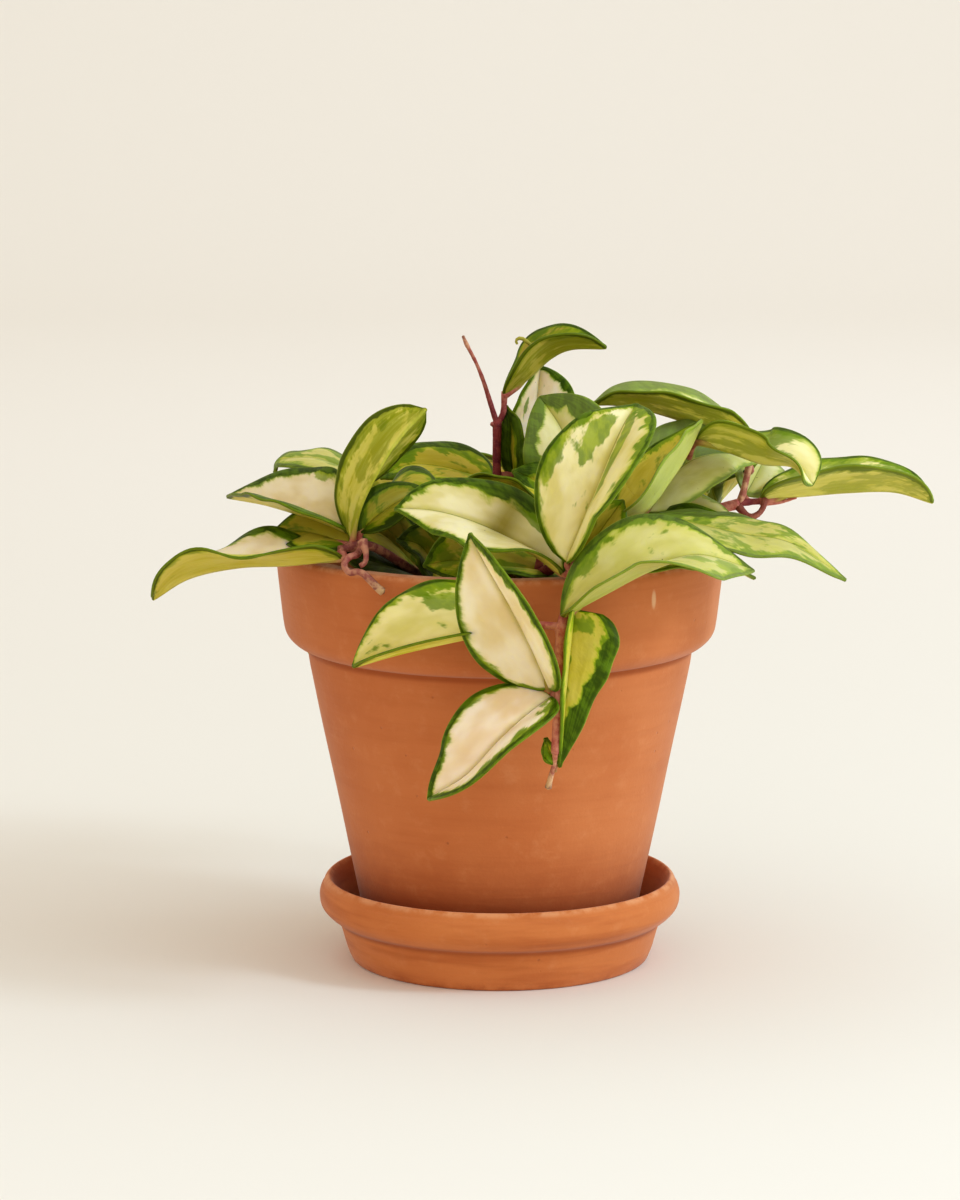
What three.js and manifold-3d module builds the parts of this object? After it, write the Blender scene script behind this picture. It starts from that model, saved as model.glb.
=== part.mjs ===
// A potted hoya plant: terracotta pot and saucer, soil, and nine leafy stems.
// Millimetres, +Z up. The origin is the centre of the saucer's underside,
// and -Y is the side that the front stem trails over.
import * as THREE from 'three';
import { mergeVertices } from 'three/addons/utils/BufferGeometryUtils.js';
import Module from 'manifold-3d';

const wasm = await Module();
wasm.setup();

// Pot and saucer
const rimRadius = 75;
const rimTop = 141;
const rimWall = 7.5;
const collarFoot = 105.5;
const bodyTopRadius = 65;
const bodyFootRadius = 44.4;
const bodyWall = 6;
const drainRadius = 10;
const saucerRadius = 61;
const saucerHeight = 28.5;
const saucerFoot = 46;
const saucerFloor = 5;
const clearance = 0.3;
const potFoot = saucerFloor + clearance;
const potFloor = potFoot + 7;
const roundSides = 32;

// Soil
const soilTop = 125;
const plantingDepth = 9;
const bareStem = 3;

// Leaves and stalks
const bladeThickness = 1.3;
const bladeSteps = 7;
const halfSteps = 2;
const bladeEnd = 0.6;
const stalkRadius = 1.15;
const stalkSides = 4;
const stalkSteps = 2;
const stalkGrip = 1;
const stemSides = 5;
const holeSides = 10;

const terracotta = { color: 0xc97a45, roughness: 0.85, metalness: 0 };
const saucerClay = { color: 0xc87743, roughness: 0.85, metalness: 0 };
const pottingMix = { color: 0x3b2a1e, roughness: 1, metalness: 0 };
const foliage = { color: 0x86a24a, roughness: 0.45, metalness: 0 };

const vector = ([x, y, z]) => new THREE.Vector3(x, y, z);
const degrees = Math.PI / 180;

function turned(profile) {
  const points = profile.map(([radius, height]) => new THREE.Vector2(radius, height));
  const geometry = new THREE.LatheGeometry(points, roundSides);
  return geometry.rotateX(Math.PI / 2);
}

function solid(geometry) {
  const bare = geometry.clone();
  bare.deleteAttribute('normal');
  bare.deleteAttribute('uv');
  const merged = mergeVertices(bare, 1e-4);
  return new wasm.Manifold(new wasm.Mesh({
    numProp: 3,
    vertProperties: new Float32Array(merged.attributes.position.array),
    triVerts: new Uint32Array(merged.index.array),
  }));
}

function geometryOf(manifold) {
  const mesh = manifold.getMesh();
  const geometry = new THREE.BufferGeometry();
  geometry.setAttribute('position', new THREE.BufferAttribute(mesh.vertProperties, mesh.numProp));
  geometry.setIndex(outerShell(mesh.triVerts));
  geometry.computeVertexNormals();
  return geometry;
}

// Keeps the largest connected skin, which fills any hollow that joined blades close off.
function outerShell(triangles) {
  const parent = new Map();
  const rootOf = (corner) => {
    let root = corner;
    while (parent.has(root)) root = parent.get(root);
    return root;
  };
  for (let first = 0; first < triangles.length; first += 3) {
    for (const next of [first + 1, first + 2]) {
      const here = rootOf(triangles[first]);
      const there = rootOf(triangles[next]);
      if (here !== there) parent.set(here, there);
    }
  }
  const shells = new Map();
  for (let first = 0; first < triangles.length; first += 3) {
    const root = rootOf(triangles[first]);
    if (!shells.has(root)) shells.set(root, []);
    shells.get(root).push(...triangles.slice(first, first + 3));
  }
  return [...shells.values()].reduce((largest, shell) => (shell.length > largest.length ? shell : largest));
}

function piece(name, geometry, finish) {
  const mesh = new THREE.Mesh(geometry, new THREE.MeshStandardMaterial(finish));
  mesh.name = name;
  return mesh;
}

// The pot is one wall turned round its axis: a deep collar over a tapering body,
// with a drain hole in its floor.
function pot() {
  const innerFoot = bodyFootRadius - bodyWall;
  const innerTop = rimRadius - rimWall;
  return turned([
    [drainRadius, potFoot],
    [bodyFootRadius - 1.5, potFoot],
    [bodyFootRadius, potFoot + 1.5],
    [bodyTopRadius, collarFoot],
    [bodyTopRadius + 3, collarFoot + 1.2],
    [bodyTopRadius + 6.5, collarFoot + 4.5],
    [rimRadius - 2, collarFoot + 8],
    [rimRadius - 0.2, rimTop - 6],
    [rimRadius, rimTop - 1.5],
    [rimRadius - 1.5, rimTop],
    [innerTop + 1.5, rimTop],
    [innerTop, rimTop - 1.5],
    [innerTop - 1.5, soilTop - 4],
    [bodyTopRadius - bodyWall, collarFoot - 4],
    [innerFoot, potFloor + 2],
    [innerFoot - 3, potFloor],
    [drainRadius, potFloor],
    [drainRadius, potFoot],
  ]);
}

// The saucer is a shallow dish with a rounded collar that leans over its wall.
function saucer() {
  return turned([
    [0, 0],
    [saucerFoot + 3, 0],
    [saucerFoot + 5.5, 3],
    [saucerFoot + 8, 12.5],
    [saucerRadius - 3, 15],
    [saucerRadius - 0.5, 18.5],
    [saucerRadius, 22.5],
    [saucerRadius - 1.2, saucerHeight - 3.2],
    [saucerRadius - 3.4, saucerHeight],
    [saucerRadius - 4.8, saucerHeight - 1.5],
    [saucerRadius - 6, 22],
    [saucerFoot + 2.5, saucerFloor + 2],
    [saucerFoot + 0.5, saucerFloor],
    [0, saucerFloor],
  ]);
}

// The soil fills the pot and its drain hole, and each stem stands in a plain hole in it.
function soil(stems) {
  const innerFoot = bodyFootRadius - bodyWall - clearance;
  const bed = turned([
    [0, potFoot + clearance],
    [drainRadius - clearance, potFoot + clearance],
    [drainRadius - clearance, potFloor + clearance],
    [innerFoot - 3, potFloor + clearance],
    [innerFoot - 0.2, potFloor + 2 + clearance],
    [bodyTopRadius - bodyWall - clearance - 0.2, collarFoot - 4],
    [rimRadius - rimWall - 2, soilTop - 3.8],
    [rimRadius - rimWall - 2, soilTop - 1],
    [rimRadius - rimWall - 8, soilTop],
    [0, soilTop + 1.5],
  ]);
  let filled = solid(bed);
  for (const { points, radius } of stems) {
    const [x, y] = points[0];
    const height = plantingDepth + 6;
    const hole = new THREE.CylinderGeometry(radius + clearance, radius + clearance, height, holeSides);
    hole.rotateX(Math.PI / 2);
    hole.translate(x, y, soilTop - plantingDepth - clearance + height / 2);
    filled = filled.subtract(solid(hole));
  }
  return geometryOf(filled);
}

function tube(points, radius, sides, steps) {
  const path = new THREE.CatmullRomCurve3(points, false, 'catmullrom', 0.5);
  const section = new THREE.Shape();
  for (let side = 0; side < sides; side += 1) {
    const angle = (side / sides) * 2 * Math.PI;
    const corner = [radius * Math.cos(angle), radius * Math.sin(angle)];
    if (side === 0) section.moveTo(...corner);
    else section.lineTo(...corner);
  }
  section.closePath();
  return solid(new THREE.ExtrudeGeometry(section, { steps, bevelEnabled: false, extrudePath: path }));
}

const listed = (value) => (Array.isArray(value) ? value : [value]);

function valueAlong(values, along) {
  const list = listed(values);
  const place = along * (list.length - 1);
  const index = Math.min(Math.floor(place), Math.max(list.length - 2, 0));
  const next = list[Math.min(index + 1, list.length - 1)];
  return THREE.MathUtils.lerp(list[index], next, place - index);
}

// Half the blade's width at a place along it, widest a little before the middle.
function halfWidth(along, width, blunt, point) {
  const widest = blunt / (blunt + point);
  return (width / 2) * (along / widest) ** blunt * ((1 - along) / (1 - widest)) ** point;
}

// One leaf blade as a closed solid. Its midrib follows the spine, its upper side looks
// along face (from base to tip), and its left and right halves rise from the midrib
// by the fold angles, rounded by cup and rippled by wave.
function blade(leaf) {
  const { spine, face, width, fold, blunt = 0.6, point = 0.9, halves = [1, 1], wave = [0, 0] } = leaf;
  const cup = 25;
  const midrib = new THREE.CatmullRomCurve3(spine.map(vector), false, 'catmullrom', 0.5);
  const columns = 2 * halfSteps + 1;
  const grid = [];
  for (let row = 0; row <= bladeSteps; row += 1) {
    const along = row / bladeSteps;
    const centre = midrib.getPoint(along);
    const ahead = midrib.getTangent(along);
    const up = vector(face[0]).normalize().lerp(vector(face[1]).normalize(), along);
    up.addScaledVector(ahead, -up.dot(ahead)).normalize();
    const right = ahead.clone().cross(up);
    const line = new Array(columns);
    line[halfSteps] = centre;
    for (const [side, sign] of [[0, -1], [1, 1]]) {
      const reach = Math.max(halfWidth(along, width, blunt, point) * halves[side], bladeEnd);
      const [height, waves, phase] = listed(wave[side]);
      const swell = height ? height * Math.sin(2 * Math.PI * (waves * along + phase)) : 0;
      let out = 0;
      let rise = 0;
      for (let step = 1; step <= halfSteps; step += 1) {
        const middle = (step - 0.5) / halfSteps;
        const angle = (valueAlong(fold[side], along) + cup * (0.5 - middle)) * degrees;
        out += Math.cos(angle) / halfSteps;
        rise += Math.sin(angle) / halfSteps;
        const ripple = swell * (step / halfSteps) ** 2 * Math.sqrt(4 * along * (1 - along));
        const place = centre.clone().addScaledVector(right, sign * out * reach);
        line[halfSteps + sign * step] = place.addScaledVector(up, rise * reach + ripple);
      }
    }
    grid.push(line);
  }
  return thickened(grid);
}

// Gives a grid of points the blade's thickness, with both faces split alike.
function thickened(grid) {
  const rows = grid.length;
  const columns = grid[0].length;
  const positions = [];
  for (const side of [1, -1]) {
    for (let row = 0; row < rows; row += 1) {
      for (let column = 0; column < columns; column += 1) {
        const onward = grid[Math.min(row + 1, rows - 1)][column].clone();
        const along = onward.sub(grid[Math.max(row - 1, 0)][column]);
        const rightward = grid[row][Math.min(column + 1, columns - 1)].clone();
        const across = rightward.sub(grid[row][Math.max(column - 1, 0)]);
        const normal = across.cross(along).normalize();
        const place = grid[row][column].clone().addScaledVector(normal, side * bladeThickness / 2);
        positions.push(place.x, place.y, place.z);
      }
    }
  }
  const top = (row, column) => row * columns + column;
  const bottom = (row, column) => rows * columns + top(row, column);
  const triangles = [];
  for (let row = 0; row < rows - 1; row += 1) {
    for (let column = 0; column < columns - 1; column += 1) {
      const near = [row, column];
      const right = [row, column + 1];
      const far = [row + 1, column + 1];
      const left = [row + 1, column];
      triangles.push(top(...near), top(...right), top(...far), top(...near), top(...far), top(...left));
      triangles.push(bottom(...near), bottom(...far), bottom(...right));
      triangles.push(bottom(...near), bottom(...left), bottom(...far));
    }
  }
  const border = [];
  for (let column = 0; column < columns; column += 1) border.push([0, column]);
  for (let row = 1; row < rows; row += 1) border.push([row, columns - 1]);
  for (let column = columns - 2; column >= 0; column -= 1) border.push([rows - 1, column]);
  for (let row = rows - 2; row > 0; row -= 1) border.push([row, 0]);
  border.forEach((here, index) => {
    const next = border[(index + 1) % border.length];
    triangles.push(top(...here), bottom(...here), bottom(...next));
    triangles.push(top(...here), bottom(...next), top(...next));
  });
  return new wasm.Manifold(new wasm.Mesh({
    numProp: 3,
    vertProperties: new Float32Array(positions),
    triVerts: new Uint32Array(triangles),
  }));
}

// The short stalk that joins a blade to the nearest place on its stem.
function stalk(leaf, stems) {
  const midrib = new THREE.CatmullRomCurve3(leaf.spine.map(vector), false, 'catmullrom', 0.5);
  const base = midrib.getPoint(0);
  const inside = midrib.getPointAt(Math.min(stalkGrip / midrib.getLength(), 1));
  let nearest = null;
  for (const { points } of stems) {
    const path = new THREE.CatmullRomCurve3(points.map(vector), false, 'catmullrom', 0.5);
    for (const place of path.getSpacedPoints(80)) {
      if (place.z < soilTop + 3) continue;
      if (!nearest || place.distanceTo(base) < nearest.distanceTo(base)) nearest = place;
    }
  }
  const points = nearest.distanceTo(base) > 2 ? [nearest, base, inside] : [nearest, inside];
  return tube(points, stalkRadius, stalkSides, stalkSteps);
}

// One leafy stem: its main stem, side stems, leaf stalks and blades, grown as one.
function leafyStem({ stems, leaves }) {
  let whole = null;
  const join = (next) => { whole = whole ? whole.add(next) : next; };
  const [x, y, start] = stems[0].points[0];
  const planted = [[x, y, soilTop - plantingDepth], [x, y, start + 0.5]];
  join(tube(planted.map(vector), stems[0].radius, stemSides, 1));
  for (const { points, radius, steps } of stems) join(tube(points.map(vector), radius, stemSides, steps));
  for (const leaf of leaves) {
    join(blade(leaf));
    join(stalk(leaf, stems));
  }
  return geometryOf(whole);
}

const foot = (x, y) => [x, y, soilTop + bareStem];

// Hangs over the front of the rim, with three pairs of leaves below it.
const front = {
  stems: [
    {
      points: [foot(4, -18), [12, -40, 139], [20, -60, 146], [24, -74, 145], [21.5, -82, 135],
        [18.8, -86, 124], [18, -87, 106], [17.5, -87, 90], [15, -86, 75]],
      radius: 1.7,
      steps: 16,
    },
    { points: [[12, -40, 139], [14, -43, 150], [14, -44, 159]], radius: 1.3, steps: 3 },
  ],
  leaves: [
    { spine: [[21, -74, 146.5], [28, -73, 163], [33.4, -71, 177], [39, -65, 189], [43.6, -56, 195]],
      face: [[-0.1, -1, 0.1], [-0.1, -0.7, 0.6]], width: 41, fold: [0, [76, 75, 56, 34, 24]] },
    { spine: [[19, -85, 131.5], [33, -84, 139], [48, -80, 146], [63, -74, 149], [81, -62, 142]],
      face: [[0, -0.45, 0.89], [0, 0.1, 1]], width: 38, fold: [43, 41], blunt: 0.8 },
    { spine: [[27, -75, 145], [45, -67, 146], [58, -61, 146], [71, -56, 144], [82, -52, 138]],
      face: [[0, -0.13, 1], [0, -0.13, 1]], width: 24, fold: [0, 0] },
    { spine: [[22.9, -83.4, 133.5], [21.4, -86, 121], [20, -87, 106], [18.6, -86, 83]],
      face: [[0.7, -0.7, 0.1], [0.7, -0.7, 0.1]], width: 31, fold: [42, 35], blunt: 0.3 },
    { spine: [[15.1, -88, 108.5], [10, -94, 122.5], [3, -98, 137], [-3.6, -100, 149], [-9.8, -98, 160]],
      face: [[-0.2, -1, 0.3], [-0.2, -1, 0.1]], width: 37, fold: [0, 64] },
    { spine: [[16, -88, 106], [8, -95, 101], [0, -99, 94], [-11, -99, 82], [-23, -95, 74]],
      face: [[-0.2, -1, 0.3], [-0.2, -1, 0.3]], width: 34, fold: [[45, 65, 75], 0], blunt: 0.7, point: 0.75 },
    { spine: [[12, -86, 129], [-1, -87, 127], [-17, -89, 124], [-33, -88, 120], [-47, -84, 115]],
      face: [[0, -0.75, 0.6], [-0.1, -0.75, 0.6]], width: 42, fold: [70, 10], blunt: 0.9, point: 0.8,
      halves: [0.45, 1] },
    { spine: [[17, -86.4, 84.4], [12, -86, 90], [8, -82, 95]],
      face: [[-0.3, -0.6, 0.5], [-0.3, -0.6, 0.5]], width: 9, fold: [10, 10] },
    { spine: [[20, -72, 143], [8, -66, 150], [-7, -62, 157], [-21, -61, 161], [-34, -62, 162]],
      face: [[0, -0.54, 0.84], [0, -0.54, 0.84]], width: 39, fold: [[45, 28, 18], 17], blunt: 0.8 },
    { spine: [[14, -44, 159], [6, -40, 163], [-4, -36, 165], [-17, -32, 163.5]],
      face: [[0, 0.3, 1], [0, 0.3, 1]], width: 24, fold: [20, 20] },
    { spine: [[20, -38, 136], [8, -42, 139], [-6, -46, 140], [-20, -48, 135]],
      face: [[0, -0.3, 1], [0, -0.3, 1]], width: 24, fold: [15, 15] },
  ],
};

// Comes over the left of the rim, with a dried, curled end below its leaves.
const left = {
  stems: [
    {
      points: [foot(-20, -16), [-31, -34, 139], [-41, -45, 147], [-47, -48, 148], [-52, -51, 147]],
      radius: 1.7,
      steps: 8,
    },
    { points: [[-41, -45, 147], [-49, -56, 147], [-46, -62, 145], [-38, -68, 146], [-33, -73, 144]],
      radius: 1.3, steps: 6 },
  ],
  leaves: [
    { spine: [[-51, -52, 145], [-68, -52, 143], [-85, -51, 142], [-101, -49, 138], [-113, -45, 130]],
      face: [[0, 0, 1], [-0.3, 0, 1]], width: 30, fold: [30, 33], blunt: 0.7, point: 0.65,
      wave: [[3, 2, -0.19], [4, 2, -0.59]] },
    { spine: [[-49, -47, 148], [-57, -43, 150], [-66, -38, 151], [-75, -32, 149.5]],
      face: [[0, -0.6, 0.8], [0, -0.6, 0.8]], width: 23, fold: [15, 15] },
    { spine: [[-48.5, -45, 152], [-59, -39, 155.2], [-68, -32.5, 157], [-78, -24, 158.4], [-90, -15, 159]],
      face: [[0, -0.33, 1], [0, -0.33, 1]], width: 37, fold: [35, 35] },
    { spine: [[-48, -48, 150], [-45.6, -50, 160.5], [-40.5, -48.5, 171], [-33.6, -42.5, 181.5], [-24.3, -34.5, 190.8]],
      face: [[-0.3, 0.92, 0], [0, 0.95, 0.3]], width: 30, fold: [[86, 84, 74, 54, 30], 50], blunt: 0.75,
      point: 0.5 },
    { spine: [[-45.5, -46, 152], [-38.7, -42, 157.6], [-30.7, -36, 161.5], [-22, -30, 162]],
      face: [[0, -0.7, 0.7], [0, -0.6, 0.7]], width: 17, fold: [20, 20] },
    { spine: [[-20, -20, 130], [-23, -27, 139], [-27, -30, 145], [-34, -31, 147]],
      face: [[0.3, -0.6, 0.6], [0.1, -0.6, 0.7]], width: 20, fold: [20, 20] },
  ],
};

// Stands inside the pot behind the left one.
const innerLeft = {
  stems: [
    { points: [foot(-28, -2), [-33, -5, 143], [-39, -6, 154], [-43, -5, 159]], radius: 1.5, steps: 6 },
  ],
  leaves: [
    { spine: [[-43, -5, 159], [-52, -4, 167], [-60, -3, 171], [-68, -2, 170], [-75, -1, 166]],
      face: [[-0.1, -0.1, 1], [-0.4, -0.1, 0.9]], width: 24, fold: [0, 0] },
    { spine: [[-39, -12, 153], [-34, -14, 159], [-28, -15, 162], [-22, -15, 158], [-17, -14, 150]],
      face: [[-0.5, -0.2, 0.6], [0.3, -0.2, 0.8]], width: 24, fold: [10, 10] },
  ],
};

// Stands upright in the middle, and forks into a bare twig and a leafy branch.
const upright = {
  stems: [
    { points: [foot(4, 10), [1, 4, 147], [-1, 0, 164], [-1, 0, 182]], radius: 2, steps: 6 },
    { points: [[-1, 0, 180], [-3, -2, 191], [-7, -4, 201], [-12, -5, 211]], radius: 1.2, steps: 4 },
    { points: [[-1, 0, 180], [0, 0, 187], [1, 0, 192]], radius: 1.6, steps: 2 },
  ],
  leaves: [
    { spine: [[1, 0, 191], [9.2, -2, 197.4], [16.4, -3, 204], [23.6, -4, 207.2], [35, -2, 207]],
      face: [[-0.6, 0, 0.8], [0.2, 0, 1]], width: 26, fold: [48, 36], blunt: 0.85, point: 0.8 },
    { spine: [[11, 8, 165], [11, 9, 177], [12, 9, 189], [13, 6, 200]],
      face: [[-0.2, -1, 0.1], [-0.2, -1, 0.3]], width: 30, fold: [20, 20], blunt: 0.7, point: 0.7,
      halves: [0.8, 1] },
    { spine: [[5, 4, 162], [4, 3, 172], [4, 2, 180], [2, 2, 187]],
      face: [[-0.5, -0.8, 0], [-0.5, -0.8, 0]], width: 14, fold: [30, 30] },
    { spine: [[-2, 8, 158], [-10, 11, 159.5], [-20, 14, 161.5], [-30, 16, 161.5], [-39, 16, 154]],
      face: [[0, 0, 1], [-0.7, -0.1, 0.6]], width: 28, fold: [8, 12] },
  ],
};

// Stands at the front right, with two broad leaves.
const nearRight = {
  stems: [
    { points: [foot(28, -26), [32, -33, 142], [36, -40, 153]], radius: 1.5, steps: 5 },
  ],
  leaves: [
    { spine: [[37, -42, 155], [47, -42, 159], [55, -36, 168], [61, -28, 176], [66, -20, 185]],
      face: [[-0.6, -0.4, 0.6], [-0.6, -0.4, 0.6]], width: 36, fold: [25, 48] },
    { spine: [[50, -44, 157], [65, -46, 154], [79, -46, 151], [94, -46, 148], [112, -44, 136]],
      face: [[0.2, -0.1, 0.95], [0.4, -0.2, 0.9]], width: 33, fold: [5, -5] },
  ],
};

// Rises on the right and carries the high arching leaf.
const right = {
  stems: [
    { points: [foot(34, -8), [42, -10, 143], [52, -7, 156], [60, -4, 166], [71, 2, 170], [83, 5, 174]],
      radius: 1.7, steps: 9 },
  ],
  leaves: [
    { spine: [[83, 5, 174], [73, 2, 178], [63, 0, 182], [50, 0, 186], [39, 0, 188], [31, 0, 188]],
      face: [[0, 0, 1], [0, 0, 1]], width: 31, fold: [34, 37] },
    { spine: [[64, -20, 178], [74, -23, 176], [87, -25, 172], [97, -26, 171], [104, -26, 165]],
      face: [[0, 0.5, 0.8], [0.1, -0.5, 0.9]], width: 30, fold: [42, [38, 38, 20]], blunt: 0.6, point: 0.6 },
    { spine: [[48, -24, 155], [54, -18, 163], [61, -12, 169], [68, -6, 171], [76, -1, 171], [86, 2, 168]],
      face: [[0, -0.8, 0.6], [0, -0.7, 0.7]], width: 30, fold: [20, 20] },
    { spine: [[28, -8, 160], [24, -9, 170], [20, -9, 181], [13, -6, 191]],
      face: [[-0.1, -1, 0.2], [-0.1, -1, 0.3]], width: 33, fold: [10, 20], blunt: 0.75, point: 0.7 },
    { spine: [[49, -14, 150], [60, -12, 152], [70, -10, 151], [78, -8, 146]],
      face: [[0, -0.1, 1], [0.2, -0.1, 1]], width: 22, fold: [10, 10] },
    { spine: [[37, -12, 131], [46, -20, 140], [54, -24, 143], [61, -25, 142]],
      face: [[0, -0.3, 1], [0, -0.3, 1]], width: 22, fold: [15, 15] },
  ],
};

// Reaches out over the right of the rim, and turns once round before its last leaf.
const farRight = {
  stems: [
    { points: [foot(42, 8), [52, 6, 142], [61, 4, 150], [72, 3, 154], [80, 3, 156]], radius: 1.7, steps: 8 },
    { points: [[79, 3, 155], [82, 2, 150], [86, 3, 151], [88, 4, 155], [90, 4, 157]], radius: 1.3, steps: 8 },
    { points: [[80, 3, 156], [81, 6, 160], [84, 12, 164]], radius: 1.2, steps: 3 },
  ],
  leaves: [
    { spine: [[87, 4, 156], [102, 5, 157], [117, 6, 158], [132, 6, 158], [145, 6, 154]],
      face: [[0, 0, 1], [0.3, 0, 1]], width: 31, fold: [38, 40], blunt: 0.6, point: 0.65 },
    { spine: [[84, 12, 164], [82, 22, 161], [78, 30, 155], [73, 36, 148]],
      face: [[-0.3, -0.5, 0.8], [-0.3, -0.5, 0.8]], width: 27, fold: [10, 10] },
  ],
};

// Goes over the rim at the back left and hangs down outside it.
const backLeft = {
  stems: [
    { points: [foot(-14, 18), [-24, 34, 142], [-33, 50, 148], [-38, 64, 149], [-41, 75, 146],
      [-42, 80, 136], [-42, 81, 122], [-42, 80, 108]], radius: 1.7, steps: 14 },
  ],
  leaves: [
    { spine: [[-32, 46, 147], [-45, 52, 149], [-56, 62, 146], [-63, 72, 137]],
      face: [[-0.2, 0, 1], [-0.5, 0.3, 0.8]], width: 28, fold: [25, 25] },
    { spine: [[-42, 76, 147], [-52, 92, 153], [-60, 108, 147], [-64, 122, 133]],
      face: [[0, 0.1, 1], [-0.2, 0.5, 0.8]], width: 32, fold: [20, 30] },
    { spine: [[-37, 68, 150], [-20, 84, 157], [-2, 94, 155], [14, 102, 143]],
      face: [[0, 0.4, 1], [0.3, 0.4, 0.8]], width: 34, fold: [25, 20] },
    { spine: [[-44, 82, 126], [-54, 89, 113], [-60, 93, 96], [-62, 94, 78]],
      face: [[-0.3, 1, 0.3], [-0.3, 1, 0.1]], width: 28, fold: [15, 30] },
    { spine: [[-40, 83, 123], [-27, 92, 110], [-14, 96, 94], [-4, 96, 76]],
      face: [[0.2, 1, 0.4], [0.2, 1, 0.1]], width: 34, fold: [30, 15] },
    { spine: [[-42, 81, 106], [-42, 86, 92], [-40, 88, 76], [-36, 86, 60]],
      face: [[0, 1, 0.2], [0, 1, 0]], width: 26, fold: [20, 20] },
    { spine: [[-24, 30, 141], [-32, 34, 154], [-38, 38, 163], [-42, 40, 170]],
      face: [[-0.5, 0.7, 0.4], [-0.5, 0.7, 0.4]], width: 24, fold: [20, 25] },
  ],
};

// Goes over the rim at the back right.
const backRight = {
  stems: [
    { points: [foot(20, 22), [29, 36, 142], [38, 52, 148], [44, 62, 149], [48, 71, 145],
      [49, 75, 134], [48, 76, 120]], radius: 1.7, steps: 12 },
  ],
  leaves: [
    { spine: [[38, 52, 149], [52, 60, 155], [64, 70, 154], [73, 80, 146]],
      face: [[0.2, 0.2, 1], [0.4, 0.4, 0.8]], width: 28, fold: [25, 25] },
    { spine: [[45, 66, 149], [37, 86, 157], [28, 104, 153], [18, 120, 140]],
      face: [[0, 0.2, 1], [-0.2, 0.5, 0.8]], width: 34, fold: [25, 25] },
    { spine: [[49, 73, 145], [59, 88, 148], [66, 100, 142], [70, 112, 128]],
      face: [[0.2, 0.3, 1], [0.5, 0.5, 0.7]], width: 30, fold: [20, 30] },
    { spine: [[48, 79, 124], [43, 88, 111], [34, 93, 95], [27, 92, 78]],
      face: [[0, 1, 0.3], [0, 1, 0]], width: 34, fold: [25, 20] },
    { spine: [[29, 36, 145], [27, 44, 160], [23, 50, 170], [17, 54, 177]],
      face: [[0.2, 0.8, 0.4], [0.2, 0.8, 0.4]], width: 28, fold: [20, 20] },
  ],
};

const leafyStems = {
  leafy_stem_front: front,
  leafy_stem_left: left,
  leafy_stem_inner_left: innerLeft,
  leafy_stem_upright: upright,
  leafy_stem_near_right: nearRight,
  leafy_stem_right: right,
  leafy_stem_far_right: farRight,
  leafy_stem_back_left: backLeft,
  leafy_stem_back_right: backRight,
};

const plant = new THREE.Group();
plant.add(piece('saucer', saucer(), saucerClay));
plant.add(piece('pot', pot(), terracotta));
plant.add(piece('soil', soil(Object.values(leafyStems).map(({ stems }) => stems[0])), pottingMix));
for (const [name, growth] of Object.entries(leafyStems)) plant.add(piece(name, leafyStem(growth), foliage));

export default plant;
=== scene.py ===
import math
import random

import bmesh
import bpy
import numpy as np
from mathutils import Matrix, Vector, noise


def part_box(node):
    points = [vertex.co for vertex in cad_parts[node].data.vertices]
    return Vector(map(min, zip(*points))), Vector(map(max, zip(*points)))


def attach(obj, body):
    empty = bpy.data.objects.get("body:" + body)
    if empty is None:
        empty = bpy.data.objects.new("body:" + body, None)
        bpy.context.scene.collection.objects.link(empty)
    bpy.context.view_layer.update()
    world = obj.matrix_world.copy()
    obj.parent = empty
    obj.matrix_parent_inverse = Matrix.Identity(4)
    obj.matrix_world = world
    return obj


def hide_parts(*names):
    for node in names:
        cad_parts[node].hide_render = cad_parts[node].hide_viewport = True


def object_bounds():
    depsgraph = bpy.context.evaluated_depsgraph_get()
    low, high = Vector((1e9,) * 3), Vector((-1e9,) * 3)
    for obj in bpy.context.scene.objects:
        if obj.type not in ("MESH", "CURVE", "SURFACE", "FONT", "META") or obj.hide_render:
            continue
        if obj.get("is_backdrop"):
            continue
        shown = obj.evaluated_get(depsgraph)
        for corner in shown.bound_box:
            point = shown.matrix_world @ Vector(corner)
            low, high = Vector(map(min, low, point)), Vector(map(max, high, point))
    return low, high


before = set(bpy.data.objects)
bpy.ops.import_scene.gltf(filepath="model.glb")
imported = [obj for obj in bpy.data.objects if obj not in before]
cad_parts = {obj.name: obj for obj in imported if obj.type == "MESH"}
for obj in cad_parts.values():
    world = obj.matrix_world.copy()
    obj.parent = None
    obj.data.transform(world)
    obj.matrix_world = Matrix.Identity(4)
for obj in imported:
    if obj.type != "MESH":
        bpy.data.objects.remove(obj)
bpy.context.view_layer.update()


# The saucer is a shallow dish of unglazed red clay, turned on a wheel, with a rounded collar
# that leans out over its foot. It stands on the table, and the pot stands loose in it.
mm = 0.001
saucer_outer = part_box("saucer")[1].x / mm
saucer_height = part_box("saucer")[1].z / mm


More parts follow.
